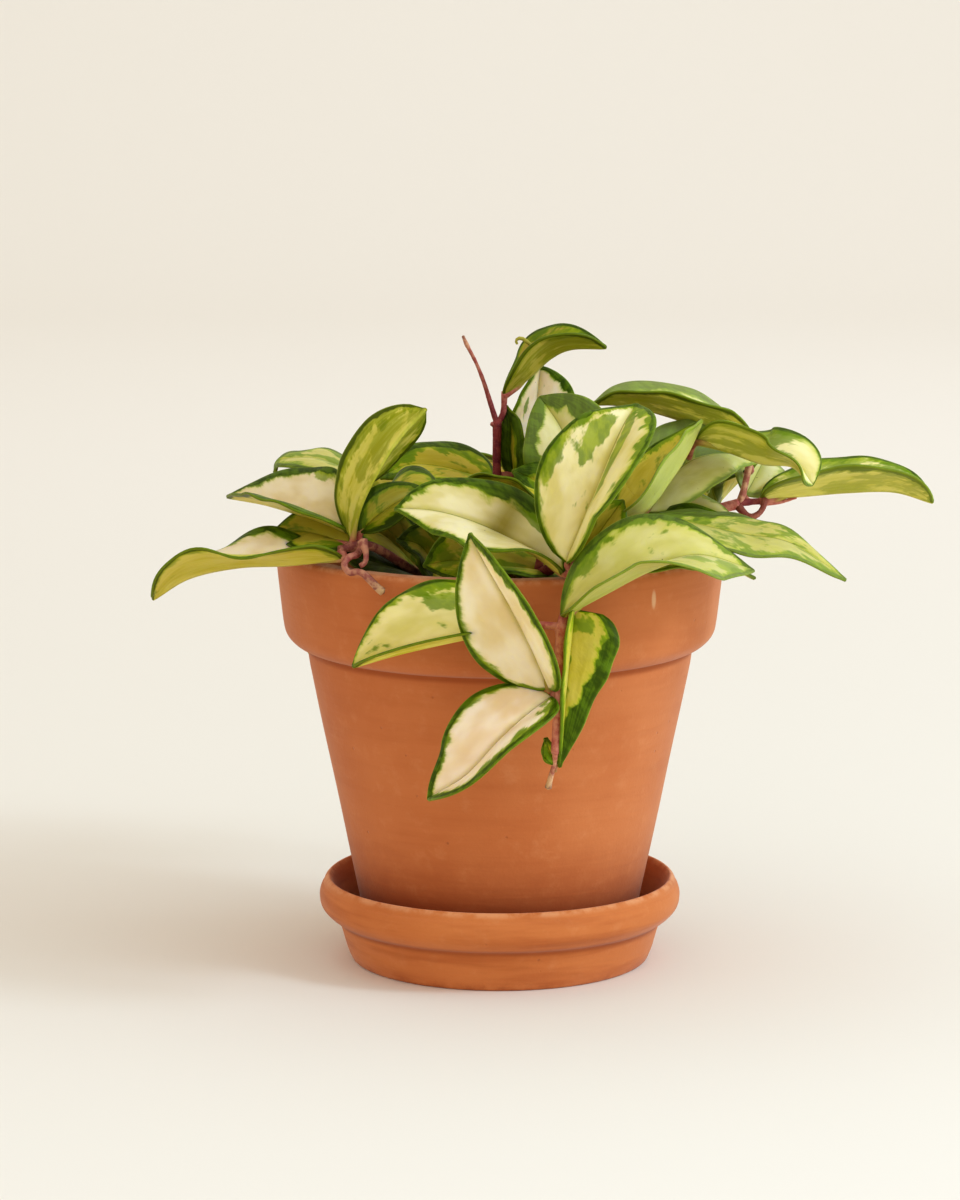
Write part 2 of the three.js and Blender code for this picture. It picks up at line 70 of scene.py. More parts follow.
class Wire:
    """A socket in a material. Sums and products of wires add Math nodes."""

    def __init__(self, tree, socket=None):
        self.tree = tree
        self.socket = socket

    def node(self, kind, settings=None, sockets=None, output=0):
        """Adds any node: its settings are set first, then its sockets get values or wires."""
        made = self.tree.nodes.new("ShaderNode" + kind)
        for name, value in (settings or {}).items():
            setattr(made, name, value)
        for name, value in (sockets or {}).items():
            if isinstance(value, Wire):
                self.tree.links.new(value.socket, made.inputs[name])
            else:
                made.inputs[name].default_value = value
        return Wire(self.tree, made.outputs[output])

    def maths(self, operation, *values):
        return self.node("Math", {"operation": operation}, dict(enumerate(values)))

    def __add__(self, other):
        return self.maths("ADD", self, other)

    def __sub__(self, other):
        return self.maths("SUBTRACT", self, other)

    def __rsub__(self, other):
        return self.maths("SUBTRACT", other, self)

    def __mul__(self, other):
        return self.maths("MULTIPLY", self, other)

    def __truediv__(self, other):
        return self.maths("DIVIDE", self, other)

    def __pow__(self, other):
        return self.maths("POWER", self, other)

    def __abs__(self):
        return self.maths("ABSOLUTE", self)

    __radd__ = __add__
    __rmul__ = __mul__

    def parts(self):
        """The X, Y and Z of a vector."""
        first = self.node("SeparateXYZ", None, {0: self})
        return [Wire(self.tree, output) for output in first.socket.node.outputs]

    def painted(self, name):
        """The three numbers that a piece holds at each of its points under this name."""
        return self.node("Attribute", {"attribute_name": name}, output="Vector").parts()

    def vector(self, x, y, z):
        return self.node("CombineXYZ", None, {0: x, 1: y, 2: z})

    def rising(self, low, high):
        """Goes smoothly from 0 to 1 as this value goes from low to high."""
        settings = {"interpolation_type": "SMOOTHSTEP"}
        return self.node("MapRange", settings, {0: self, 1: low, 2: high})

    def noise(self, size, detail=2.0, roughness=0.5):
        """Cloudy noise over this place, around 0.5, with lumps of the given size."""
        sockets = {"Vector": self, "Scale": 1 / size, "Detail": detail, "Roughness": roughness}
        return self.node("TexNoise", None, sockets)

    def over(self, under, top, way="MIX"):
        """Lays the top colour over the one under it, as far as this value says."""
        settings = {"data_type": "RGBA", "blend_type": way}
        return self.node("Mix", settings, {0: self, 6: under, 7: top}, output=2)

    def feed(self, name, shader):
        self.tree.links.new(self.socket, shader.inputs[name])

    def relief(self, shader):
        """Uses this height, in metres, as fine relief on the surface."""
        bump = self.node("Bump", None, {"Height": self, "Distance": 1.0, "Strength": 1.0})
        bump.feed("Normal", shader)


def tint(red, green, blue):
    """A colour as it looks on a screen, each part from 0 to 255."""
    linear = []
    for part in (red / 255, green / 255, blue / 255):
        linear.append(part / 12.92 if part <= 0.04045 else ((part + 0.055) / 1.055) ** 2.4)
    return (*linear, 1.0)


def new_finish(name, **constants):
    """A material, a wire to start its nodes from, and its shader."""
    finish = bpy.data.materials.new(name)
    finish.use_nodes = True
    shader = finish.node_tree.nodes["Principled BSDF"]
    for socket, value in constants.items():
        shader.inputs[socket.replace("_", " ")].default_value = value
    return finish, Wire(finish.node_tree), shader


def new_piece(name, points, faces, finish, **attributes):
    """A smooth mesh in millimetres, with a vector for each point under each attribute's name."""
    mesh = bpy.data.meshes.new(name)
    mesh.from_pydata((np.asarray(points) * mm).tolist(), [], faces)
    for attribute, values in attributes.items():
        layer = mesh.attributes.new(attribute, "FLOAT_VECTOR", "POINT")
        layer.data.foreach_set("vector", np.asarray(values, np.float32).ravel())
    mesh.materials.append(finish)
    mesh.shade_smooth()
    piece = bpy.data.objects.new(name, mesh)
    bpy.context.scene.collection.objects.link(piece)
    return piece


def rounded(corners, longest=2.5):
    """A profile of (radius, height, rounding) corners with its corners eased, in short steps."""
    eased = []
    largest_share = 0.48
    curve_steps = 6
    for index, (radius, height, rounding) in enumerate(corners):
        here = np.array([radius, height], float)
        if rounding == 0:
            eased.append(here)
            continue
        before = np.array(corners[index - 1][:2], float) - here
        after = np.array(corners[(index + 1) % len(corners)][:2], float) - here
        sides = (np.linalg.norm(before), np.linalg.norm(after))
        reach = min(rounding, largest_share * min(sides))
        start = here + before / np.linalg.norm(before) * reach
        end = here + after / np.linalg.norm(after) * reach
        for along in np.linspace(0, 1, curve_steps):
            bend = start * (1 - along) ** 2 + here * 2 * along * (1 - along) + end * along ** 2
            eased.append(bend)
    stepped = [eased[0]]
    for here in eased[1:]:
        gap = here - stepped[-1]
        steps = max(1, math.ceil(np.linalg.norm(gap) / longest))
        start = stepped[-1]
        stepped.extend(start + gap * step / steps for step in range(1, steps + 1))
    return stepped


def turned(profile, sides, wobble, closed):
    """Turns a profile round the Z axis, a little out of true by the wobble, in millimetres."""
    swells_round, swells_up = 1.2, 0.03
    points = []
    rings = []
    for radius, height in profile:
        if radius < 0.01:
            rings.append([len(points)] * sides)
            points.append((0, 0, height))
            continue
        rings.append([len(points) + side for side in range(sides)])
        for side in range(sides):
            angle = 2 * math.pi * side / sides
            east, north = math.cos(angle), math.sin(angle)
            place = Vector((east * swells_round, north * swells_round, height * swells_up))
            swell = radius - wobble + wobble * noise.noise(place)
            points.append((swell * east, swell * north, height))
    if closed:
        rings.append(rings[0])
    faces = []
    for low, high in zip(rings, rings[1:]):
        for side in range(sides):
            after = (side + 1) % sides
            corners = [low[side], low[after], high[after], high[side]]
            face = list(dict.fromkeys(corners))
            if len(face) > 2:
                faces.append(face)
    return points, faces


def fired_clay(name, light, deep, damp_colour, damp_from, damp_to, crease_shade_at, banding, worn_at):
    """Unglazed red clay: clouded, finely grained and pitted, with turning lines round it.

    Damp fades out between its two heights, the crease has painted shade, and the worn edge is pale."""
    finish, wire, shader = new_finish(name, Specular_IOR_Level=0.25, Sheen_Weight=0.2,
                                      Sheen_Roughness=0.4)
    place = wire.node("TexCoord", output="Object")
    x, y, z = place.parts()
    clouds = place.noise(0.035, 3.0).rising(0.3, 0.7)
    mottle = place.noise(0.007, 4.0, 0.65)
    grain = place.noise(0.0009, 2.0)
    lines = wire.vector(x * 0.06, y * 0.06, z).noise(0.0016, 2.0)
    bands = wire.vector(x * 0.12, y * 0.12, z).noise(0.0055, 3.0)
    pits = place.node("TexVoronoi", None, {"Vector": place, "Scale": 1 / 0.009})
    pit = 1 - pits.rising(0.02, 0.07)
    colour = (clouds * 0.55).over(light, deep)
    colour = (mottle.rising(0.5, 0.8) * 0.16).over(colour, tint(226, 166, 120))
    colour = (lines.rising(0.55, 0.8) * 0.2).over(colour, deep)
    colour = (bands.rising(0.46, 0.7) * banding).over(colour, tint(168, 88, 44))
    colour = (grain.rising(0.6, 0.8) * 0.25).over(colour, deep)
    colour = (pit * 0.3).over(colour, tint(150, 84, 48))
    damp = 1 - (z + mottle * 0.012).rising(damp_from, damp_to)
    colour = (damp * 0.8).over(colour, damp_colour)
    # Painted shade: the crease under the collar of the pot, and the one under the saucer's collar, are
    # darkened where shade falls in them.
    crease_shade = 1 - abs(z - crease_shade_at).rising(0.0002, 0.0022)
    colour = (crease_shade * 0.6).over(colour, tint(146, 68, 28))
    worn = z.rising(worn_at - 0.0024, worn_at - 0.0006) * mottle.rising(0.35, 0.6)
    colour = (worn * 0.45).over(colour, tint(232, 176, 132))
    colour.feed("Base Color", shader)
    (0.8 + mottle * 0.2 - damp * 0.12).feed("Roughness", shader)
    height = grain * 0.00005 + lines * 0.00012 + bands * (banding * 0.0009)
    height = height + mottle * 0.00015 - pit * 0.0002
    height.relief(shader)
    return finish, wire, shader, colour


saucer_profile = rounded([
    (0, 0, 0), (50, 0, 0.9), (51.6, 3.6, 2), (53.6, 10.6, 3), (54.6, 13.7, 2.4),
    (57.6, 15.2, 2.6), (saucer_outer - 0.3, 18.4, 3), (saucer_outer, 22.6, 2),
    (saucer_outer - 0.8, saucer_height - 3.6, 0.8), (saucer_outer - 1.4, saucer_height - 3, 0.3),
    (saucer_outer - 1.8, saucer_height - 1.4, 0.9), (saucer_outer - 3.2, saucer_height, 1.2),
    (saucer_outer - 4.3, saucer_height - 1.4, 1.4), (54, 21, 6), (48, 7.2, 3), (45.6, 5, 1.5),
    (0, 5, 0),
], longest=1.6)
saucer_clay = fired_clay("saucer_clay", tint(204, 126, 72), tint(190, 110, 58), tint(154, 72, 32),
                         damp_from=2 * mm, damp_to=9 * mm, crease_shade_at=13.8 * mm, banding=0.5,
                         worn_at=saucer_height * mm)[0]
points, faces = turned(saucer_profile, sides=168, wobble=0.15, closed=False)
saucer = new_piece("clay_saucer", points, faces, saucer_clay)
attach(saucer, "root")
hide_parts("saucer")


# The pot is one wall of the same clay, with a deep collar round its rim and a drain hole in
# its floor. Its foot is a little darker where water rises from the saucer, and a pale drip
# has dried on the front of the collar.
rim_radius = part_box("pot")[1].x / mm
rim_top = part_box("pot")[1].z / mm
pot_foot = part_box("pot")[0].z / mm
pot_profile = rounded([
    (10, pot_foot, 1), (44.2, pot_foot, 1.5), (64.1, 102.2, 3), (64.7, 107.4, 0.8),
    (68.4, 108.3, 2.5), (71.9, 111.6, 3), (72.7, 116.4, 5), (rim_radius - 0.6, rim_top - 9, 6),
    (rim_radius, rim_top - 2.6, 1.6), (rim_radius - 0.9, rim_top - 0.2, 1.4),
    (rim_radius - 6.6, rim_top, 1.6), (rim_radius - 7.6, rim_top - 3, 2), (66, 121, 5),
    (59, 100, 6), (38.4, 14.3, 2), (35.4, 12.3, 1), (10, 12.3, 1),
])
pot_clay, wire, shader, colour = fired_clay(
    "pot_clay", tint(198, 121, 72), tint(184, 104, 56), tint(138, 58, 20), damp_from=14 * mm,
    damp_to=62 * mm, crease_shade_at=106.8 * mm, banding=0.16, worn_at=rim_top * mm)
drip_x, drip_z = 49.4 * mm, 131.6 * mm
drip_half_width, drip_half_height = 0.8 * mm, 3.4 * mm
x, y, z = wire.node("TexCoord", output="Object").parts()
drip_across = abs(x - drip_x) / drip_half_width
drip_along = abs(z - drip_z) / drip_half_height
on_the_front = 1 - y.rising(-0.03, 0)
drip = (1 - (drip_across ** 2 + drip_along ** 2).rising(0.1, 1.3)) * on_the_front
(drip * 0.5).over(colour, tint(233, 200, 160)).feed("Base Color", shader)
points, faces = turned(pot_profile, sides=192, wobble=0.2, closed=True)
pot = new_piece("clay_pot", points, faces, pot_clay)
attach(pot, "root")
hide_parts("pot")


# The soil is a dark mix of peat and bark chips that fills the pot to below its rim, and
# loose crumbs and chips lie on it.
soil_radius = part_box("soil")[1].x / mm
soil_top = 125
soil_seed = random.Random(7)
soil_finish, wire, shader = new_finish("potting_mix", Specular_IOR_Level=0.2, Roughness=0.95)
place = wire.node("TexCoord", output="Object")
coarse = place.noise(0.004, 4.0, 0.7)
fine = place.noise(0.0012, 3.0, 0.7)
colour = coarse.rising(0.35, 0.7).over(tint(38, 27, 20), tint(78, 56, 40))
(fine.rising(0.5, 0.75) * 0.6).over(colour, tint(104, 80, 58)).feed("Base Color", shader)
(coarse * 0.0012 + fine * 0.0005).relief(shader)

rings, sides = 44, 132
crown, lump_height, edge_drop = 1.4, 1.8, 0.8
points = [(0, 0, soil_top + 1)]
for ring in range(1, rings + 1):
    for side in range(sides):
        angle = 2 * math.pi * side / sides
        reach = soil_radius * ring / rings
        x, y = reach * math.cos(angle), reach * math.sin(angle)
        lumps = noise.fractal(Vector((x, y, 0)) * 0.09, 0.8, 2.1, 4)
        inside = min(1, (rings - ring) / 3)
        height = soil_top - 1 + crown * (1 - ring / rings)
        height += lumps * lump_height * inside - edge_drop * (1 - inside)
        points.append((x, y, height))
faces = [(0, 1 + side, 1 + (side + 1) % sides) for side in range(sides)]
# Radius and height, down the inside of the pot's wall and into its drain hole.
wall = [(soil_radius - 0.3, 121), (58.5, 100), (38, 14.6), (35, 12.7), (9.6, 12.7), (9.6, 5.8),
        (0, 5.8)]
for radius, height in wall:
    if radius:
        for side in range(sides):
            angle = 2 * math.pi * side / sides
            points.append((radius * math.cos(angle), radius * math.sin(angle), height))
for ring in range(rings + len(wall) - 2):
    for side in range(sides):
        after = (side + 1) % sides
        low, high = 1 + ring * sides, 1 + (ring + 1) * sides
        faces.append((low + side, high + side, high + after, low + after))
last = 1 + (rings + len(wall) - 2) * sides
points.append((0, 0, wall[-1][1]))
faces += [(last + side, len(points) - 1, last + (side + 1) % sides) for side in range(sides)]
soil = new_piece("soil_bed", points, faces, soil_finish)
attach(soil, "root")
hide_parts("soil")

crumb_finish, wire, shader = new_finish("bark_chips", Specular_IOR_Level=0.2, Roughness=0.9)
place = wire.node("TexCoord", output="Object")
tone, pale = wire.painted("crumb_tone")[:2]
fibre = place.noise(0.0015, 3.0, 0.7)
colour = tone.over(tint(44, 31, 23), tint(112, 82, 56))
colour = (fibre.rising(0.45, 0.75) * 0.5).over(colour, tint(70, 48, 33))
pale.over(colour, tint(196, 184, 164)).feed("Base Color", shader)
(fibre * 0.0004).relief(shader)
shaping = bmesh.new()
bmesh.ops.create_icosphere(shaping, subdivisions=1, radius=1)
ball_points = np.array([corner.co for corner in shaping.verts])
ball_faces = [[corner.index for corner in face.verts] for face in shaping.faces]
shaping.free()
crumb_count = 900
chip_every, pale_every = 6, 60
points, faces, tones = [], [], []
for crumb in range(crumb_count):
    reach = (soil_radius - 4) * math.sqrt(soil_seed.random())
    angle = soil_seed.uniform(0, 2 * math.pi)
    x, y = reach * math.cos(angle), reach * math.sin(angle)
    is_chip = crumb % chip_every == 0
    size = soil_seed.uniform(1.4, 2.6) if is_chip else soil_seed.uniform(0.5, 1.3)
    shape = [soil_seed.uniform(0.7, 1.5), soil_seed.uniform(0.5, 1), soil_seed.uniform(0.35, 0.7)]
    shift = Vector((crumb, 0, 0))
    bumps = [noise.noise(Vector(corner) * 1.7 + shift) for corner in ball_points]
    jitter = 1 + 0.3 * np.array(bumps)
    turn = soil_seed.uniform(0, math.pi)
    cosine, sine = math.cos(turn), math.sin(turn)
    spin = np.array([[cosine, -sine, 0], [sine, cosine, 0], [0, 0, 1]])
    lump = (ball_points * jitter[:, None] * np.array(shape) * size) @ spin.T
    lift = soil_top + 0.6 * (1 - reach / soil_radius) + size * 0.25
    faces += [[len(points) + corner for corner in face] for face in ball_faces]
    points += (lump + [x, y, lift]).tolist()
    is_pale = crumb % pale_every == 3
    tones += [(soil_seed.random(), int(is_pale), 0)] * len(lump)
crumbs = new_piece("soil_crumbs", points, faces, crumb_finish, crumb_tone=tones)
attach(crumbs, "root")


# The front stem: a fleshy maroon shoot that hangs over the rim. Its leaves are thick, waxy
# blades in pairs, cream with a ragged green margin, each on a short stalk grown from the stem.
blade_rows = 44
half_columns = 10
midrib_crowding = 1.4
rows_along = np.linspace(0, 1, blade_rows + 1)
out_places = np.linspace(0, 1, half_columns + 1) ** midrib_crowding
stem_sides = 10
stalk_sides = 8


def through(points, places):
    """The points at places from 0 to 1 along a smooth curve through the given points."""
    points = np.asarray(points, float)
    last = len(points) - 1
    padded = np.vstack([2 * points[0] - points[1], points, 2 * points[-1] - points[-2]])
    spot = np.atleast_1d(places) * last
    index = np.clip(np.floor(spot).astype(int), 0, last - 1)
    part = (spot - index)[:, None]
    a, b, c, d = (padded[index + shift] for shift in range(4))
    return 0.5 * (2 * b + (c - a) * part + (2 * a - 5 * b + 4 * c - d) * part ** 2
                  + (3 * b - a - 3 * c + d) * part ** 3)


def unit(vectors):
    return vectors / np.maximum(np.linalg.norm(vectors, axis=-1, keepdims=True), 1e-9)


def spread(value, places):
    """A number, or a list of numbers spread evenly from base to tip, at each place."""
    values = np.atleast_1d(np.asarray(value, float))
    return np.interp(places, np.linspace(0, 1, len(values)), values)


def each_half(value):
    """The left and the right half's value, from a pair or from one value for both."""
    return value if isinstance(value, tuple) else (value, value)


def half_width(along, width, blunt, point):
    """Half of a blade's width: the greater blunt and point are, the slimmer its base and tip."""
    widest = blunt / (blunt + point)
    return width / 2 * (along / widest) ** blunt * ((1 - along) / (1 - widest)) ** point


def leaf_surface(leaf, chance):
    """The middle surface of a blade, row by row from base to tip and from left to right.

    Gives its points, with each one's place along and across the blade, and with its way to
    the edge and the widths of the green margin and of the lime patches there."""
    blunt, point = leaf.get("blunt", 0.6), leaf.get("point", 0.9)
    cup, thinnest = 25, 0.6
    along = rows_along
    midrib = through(leaf["spine"], along)
    step = 0.001
    ahead = unit(through(leaf["spine"], np.minimum(along + step, 1))
                 - through(leaf["spine"], np.maximum(along - step, 0)))
    faced = unit(np.array(leaf["face"], float))
    up = faced[0] * (1 - along)[:, None] + faced[-1] * along[:, None]
    up = unit(up - (up * ahead).sum(1, keepdims=True) * ahead)
    right = np.cross(ahead, up)
    length = np.linalg.norm(np.diff(midrib, axis=0), axis=1).sum()
    grid, place, bands = np.zeros((3, blade_rows + 1, 2 * half_columns + 1, 3))
    envelope = np.sqrt(4 * along * (1 - along))
    for side, sign in ((0, -1), (1, 1)):
        reach = half_width(along, leaf["width"], blunt, point) * each_half(leaf.get("halves", 1))[side]
        reach = np.maximum(reach, thinnest)
        fold = spread(each_half(leaf["fold"])[side], along)
        height, waves, phase = leaf.get("wave", ((0, 0, 0), (0, 0, 0)))[side]
        ruffle_height, ruffles = chance.uniform(0.25, 0.6), chance.uniform(2, 3.6)
        ruffle_phase = chance.random()
        green = spread(each_half(leaf.get("green", 1.6))[side], along)
        lime = spread(each_half(leaf.get("lime", 1.5))[side], along)
        across = np.zeros(blade_rows + 1)
        rise = np.zeros(blade_rows + 1)
        for column, out in enumerate(out_places):
            if column:
                gap = out - out_places[column - 1]
                angle = np.radians(fold + cup * (0.5 - (out - gap / 2)))
                across = across + np.cos(angle) * gap
                rise = rise + np.sin(angle) * gap
            ripple = height * np.sin(2 * np.pi * (waves * along + phase)) * out ** 2
            turns = 2 * np.pi * (ruffles * along + ruffle_phase)
            ripple = ripple + ruffle_height * np.sin(turns) * out ** 4
            lift = rise * reach + ripple * envelope
            spot = half_columns + sign * column
            aside = right * (sign * across * reach)[:, None]
            grid[:, spot] = midrib + aside + up * lift[:, None]
            place[:, spot, 0] = along * length
            place[:, spot, 1] = sign * out * reach
            bands[:, spot, 0] = (1 - out) * reach
            bands[:, spot, 1] = green
            bands[:, spot, 2] = lime
    return grid, place, bands


def leaf_edge():
    """The rows and the columns of the points round the edge of a blade, in order."""
    last = 2 * half_columns
    border = [(0, column) for column in range(last + 1)]
    border += [(row, last) for row in range(1, blade_rows + 1)]
    border += [(blade_rows, column) for column in range(last - 1, -1, -1)]
    border += [(row, 0) for row in range(blade_rows - 1, 0, -1)]
    return np.array(border).T


def leaf_shell(grid, place):
    """The points and faces of a blade: a groove over its midrib, a keel under it, a round edge."""
    half_thickness, edge_thinning, edge_round = 0.65, 0.4, 0.32
    groove_depth, groove_width = 0.32, 0.9
    keel_depth, keel_width = 0.5, 1.1
    normal = unit(np.cross(np.gradient(grid, axis=1), np.gradient(grid, axis=0)))
    away = place[:, :, 1]
    out = np.concatenate([out_places[::-1], out_places[1:]])
    half = half_thickness * (1 - edge_thinning * out ** 2) * np.ones_like(away)
    fading = (1 - rows_along[:, None]) ** 0.5
    groove = groove_depth * np.exp(-(away / groove_width) ** 2) * fading
    keel = keel_depth * np.exp(-(away / keel_width) ** 2) * fading
    top = grid + normal * (half - groove)[:, :, None]
    bottom = grid - normal * (half + keel)[:, :, None]
    rows_at, columns_at = leaf_edge()
    columns = 2 * half_columns + 1
    inward = grid[np.clip(rows_at, 1, blade_rows - 1), np.clip(columns_at, 1, columns - 2)]
    outline = grid[rows_at, columns_at]
    rim = outline + unit(outline - inward) * edge_round
    points = np.vstack([top.reshape(-1, 3), bottom.reshape(-1, 3), rim])
    count = grid.shape[0] * columns
    rows, cells = np.meshgrid(np.arange(blade_rows), np.arange(columns - 1), indexing="ij")
    near = (rows * columns + cells).ravel()
    upper = np.stack([near, near + 1, near + columns + 1, near + columns], 1)
    lower = np.stack([near, near + columns, near + columns + 1, near + 1], 1) + count
    ring = rows_at * columns + columns_at
    after = np.roll(ring, -1)
    rim_at = 2 * count + np.arange(len(ring))
    rim_after = np.roll(rim_at, -1)
    edge_top = np.stack([ring, rim_at, rim_after, after], 1)
    edge_bottom = np.stack([rim_at, ring + count, after + count, rim_after], 1)
    return points, np.vstack([upper, lower, edge_top, edge_bottom])


def leaf_blade(leaf, chance):
    """One blade: its points, faces, and the four vectors that its finish is painted by.

    The midrib follows the spine and the upper side looks along face, at the base and at the tip.
    Each half rises from the midrib by its fold, in degrees, rounded by the cup. Green and lime
    are the widths of the green margin and of the lime patches inside it. Warm, silver and sheen,
    yellow and wash say how far the finish goes that way; silver and sheen is partly the leaf's
    silvery tone and partly painted sheen. Shade darkens the blade towards olive: painted shade
    for leaves in the shade of others, and a duller olive tone on some. Patches add wash and
    painted shadows add shade at spots, each with its place along and across, its length and
    width, and its amount. What has two values has one for the left and one for the right half."""
    grid, place, bands = leaf_surface(leaf, chance)
    points, faces = leaf_shell(grid, place)
    length = place[-1, 0, 0]
    rows_at, columns_at = leaf_edge()
    place_top = place.copy()
    place_top[:, :, 2] = 1
    place_rim = place[rows_at, columns_at]
    place_rim[:, 2] = 0.5
    places = np.vstack([place_top.reshape(-1, 3), place.reshape(-1, 3), place_rim])
    widths = np.vstack([bands.reshape(-1, 3), bands.reshape(-1, 3), bands[rows_at, columns_at]])
    seed = chance.uniform(0, 60)
    rightward = 0.5 + 0.5 * np.tanh(places[:, 1] / 0.6)
    moods = np.tile([leaf.get("warm", 0.3), seed, leaf.get("shade", 0.0)], (len(points), 1))
    tones = np.zeros((len(points), 3))
    for index, (look, usual) in enumerate((("silver_and_sheen", 0.0), ("yellow", 0.0), ("wash", 0.3))):
        left, right = each_half(leaf.get(look, usual))
        tones[:, index] = left + (right - left) * rightward
    out = places[:, 1] / (np.abs(places[:, 1]) + widths[:, 0])
    for layer, marks in ((tones, leaf.get("patches", ())), (moods, leaf.get("painted_shadows", ()))):
        for centre, beside, long, wide, amount in marks:
            spot = ((places[:, 0] / length - centre) / long) ** 2 + ((out - beside) / wide) ** 2
            layer[:, 2] += amount * np.exp(-spot)
    return points, faces, places, widths, moods, tones


def tube(path, radii, sides):
    """A round stem along the path, closed by a low point at each end."""
    ahead = unit(np.gradient(path, axis=0))
    upright = abs(ahead[0][2]) >= 0.9
    side = unit(np.cross(ahead[0], [1.0, 0.2, 0.1] if upright else [0.3, 0.2, 1.0]))
    points = []
    for here, forward, radius in zip(path, ahead, radii):
        side = unit(side - forward * (side @ forward))
        other = np.cross(forward, side)
        for corner in range(sides):
            angle = 2 * math.pi * corner / sides
            points.append(here + (side * math.cos(angle) + other * math.sin(angle)) * radius)
    faces = []
    for ring in range(len(path) - 1):
        for corner in range(sides):
            after = (corner + 1) % sides
            low, high = ring * sides, (ring + 1) * sides
            faces.append([low + corner, low + after, high + after, high + corner])
    first, last = len(points), len(points) + 1
    points.append(path[0] - ahead[0] * radii[0] * 0.3)
    points.append(path[-1] + ahead[-1] * radii[-1] * 0.5)
    for corner in range(sides):
        after = (corner + 1) % sides
        faces.append([first, after, corner])
        faces.append([last, last - 1 - sides + corner, last - 1 - sides + after])
    return np.array(points), faces


def stem_path(stem):
    """Points a millimetre or so apart along a stem, from under the soil for a planted one."""
    ring_gap = 1.1
    rough = through(stem["points"], np.linspace(0, 1, 90))
    length = np.linalg.norm(np.diff(rough, axis=0), axis=1).sum()
    path = through(stem["points"], np.linspace(0, 1, max(4, int(length / ring_gap))))
    if stem.get("planted"):
        x, y, z = path[0]
        path = np.vstack([[[x, y, soil_top - 4], [x, y, z - 1]], path])
    return path


def grow(name, stems, leaves, seed):
    """One leafy stem: a piece for its leaves, and a piece for its stems and leaf stalks.

    A stem has the points that it runs through, its radius and how pink and dry it is, each from
    base to tip, and one number for how green it is. A planted one goes on down into the soil.
    Every leaf gets a stalk from the nearest place on a stem, which is a little thicker there."""
    stalk_reach = 9
    joint_swell, joint_width = 0.15, 1.6
    unevenness = 0.05
    chance = random.Random(seed)
    faces = []
    layers = [[], [], [], [], []]
    for leaf in leaves:
        points, blade_faces, *paint = leaf_blade(leaf, chance)
        faces += (blade_faces + sum(len(part) for part in layers[0])).tolist()
        for layer, part in zip(layers, (points, *paint)):
            layer.append(part)
    points, places, widths, moods, tones = (np.vstack(layer) for layer in layers)
    blades = new_piece(name + "_leaves", points, faces, leaf_finish, leaf_place=places,
                       leaf_bands=widths, leaf_mood=moods, leaf_tone=tones)
    paths = [stem_path(stem) for stem in stems]
    joints = []
    stalks = []
    for leaf in leaves:
        base = np.array(leaf["spine"][0], float)
        reachable = np.vstack([path[path[:, 2] > soil_top + 2] for path in paths])
        nearest = reachable[np.linalg.norm(reachable - base, axis=1).argmin()]
        joints.append(nearest)
        blade_length = np.linalg.norm(np.diff(np.array(leaf["spine"], float), axis=0), axis=1).sum()
        inside = through(leaf["spine"], min(stalk_reach / blade_length, 0.4))[0]
        below = -unit(np.array(leaf["face"][0], float)) * 0.5
        route = [nearest, base + below, inside + below * 1.2]
        if np.linalg.norm(nearest - base) < 2:
            route = [nearest, (nearest + inside) / 2 + below, inside + below * 1.2]
        along = np.linspace(0, 1, 16)
        thickness = leaf.get("stalk", 1.25)
        taper = [thickness * 1.15, thickness, thickness * 0.85, 0.35]
        stalks.append((through(route, along), np.interp(along, [0, 0.2, 0.6, 1], taper)))
    points, faces, looks = [], [], []
    for stem, path in zip(stems, paths):
        along = np.linspace(0, 1, len(path))
        radii = spread(stem["radius"], along)
        for joint in joints:
            near = np.linalg.norm(path - joint, axis=1)
            radii = radii + joint_swell * radii.mean() * np.exp(-(near / joint_width) ** 2)
        radii = radii + unevenness * np.array([chance.uniform(-1, 1) for ring in path])
        made, made_faces = tube(path, radii, stem_sides)
        faces += [[len(points) + corner for corner in face] for face in made_faces]
        points += made.tolist()
        dry, pink = spread(stem.get("dry", 0), along), spread(stem.get("pink", 0.2), along)
        rings = np.repeat(np.arange(len(path)), stem_sides).tolist() + [0, len(path) - 1]
        looks += [(stem.get("green", 0), dry[ring], pink[ring]) for ring in rings]
    for path, radii in stalks:
        made, made_faces = tube(path, radii, stalk_sides)
        faces += [[len(points) + corner for corner in face] for face in made_faces]
        points += made.tolist()
        green = np.repeat(np.linspace(-0.1, 1.1, len(path)), stalk_sides).tolist() + [0, 1]
        looks += [(amount, 0, 0.6) for amount in green]
    shoots = new_piece(name + "_stems", points, faces, stem_finish, stem_look=looks)
    return blades, shoots


leaf_finish, wire, shader = new_finish("waxy_leaf", Specular_IOR_Level=0.2, Coat_Weight=0.04,
                                       Coat_Roughness=0.2, Subsurface_Weight=0.8,
                                       Subsurface_Scale=0.002)
shader.inputs["Subsurface Radius"].default_value = (1.0, 1.0, 0.3)
shader.inputs["Specular Tint"].default_value = (1.0, 0.97, 0.5, 1.0)
along, across, upper = wire.painted("leaf_place")
edge, green, lime = wire.painted("leaf_bands")
warm, seed, shade = wire.painted("leaf_mood")
silver_and_sheen, yellow, wash = wire.painted("leaf_tone")
slanted = along - abs(across) * 0.8
aside = across / (abs(across) + edge)
lobes = wire.vector(slanted / 8, across / 14, seed).noise(1.0, 1.0)
jag = wire.vector(slanted / 3, across / 5, seed + 5).noise(1.0, 3.0, 0.55)
blotches = wire.vector(slanted / 7, across / 6, seed + 12).noise(1.0, 3.0, 0.6)
streaks = wire.vector(along / 22, aside * 3.2, seed + 20).noise(1.0, 4.0, 0.6)
clouds = wire.vector(along / 13, across / 8, seed + 30).noise(1.0, 2.0)
threads = wire.vector(along / 14, aside * 14, seed + 40).noise(1.0, 2.0)
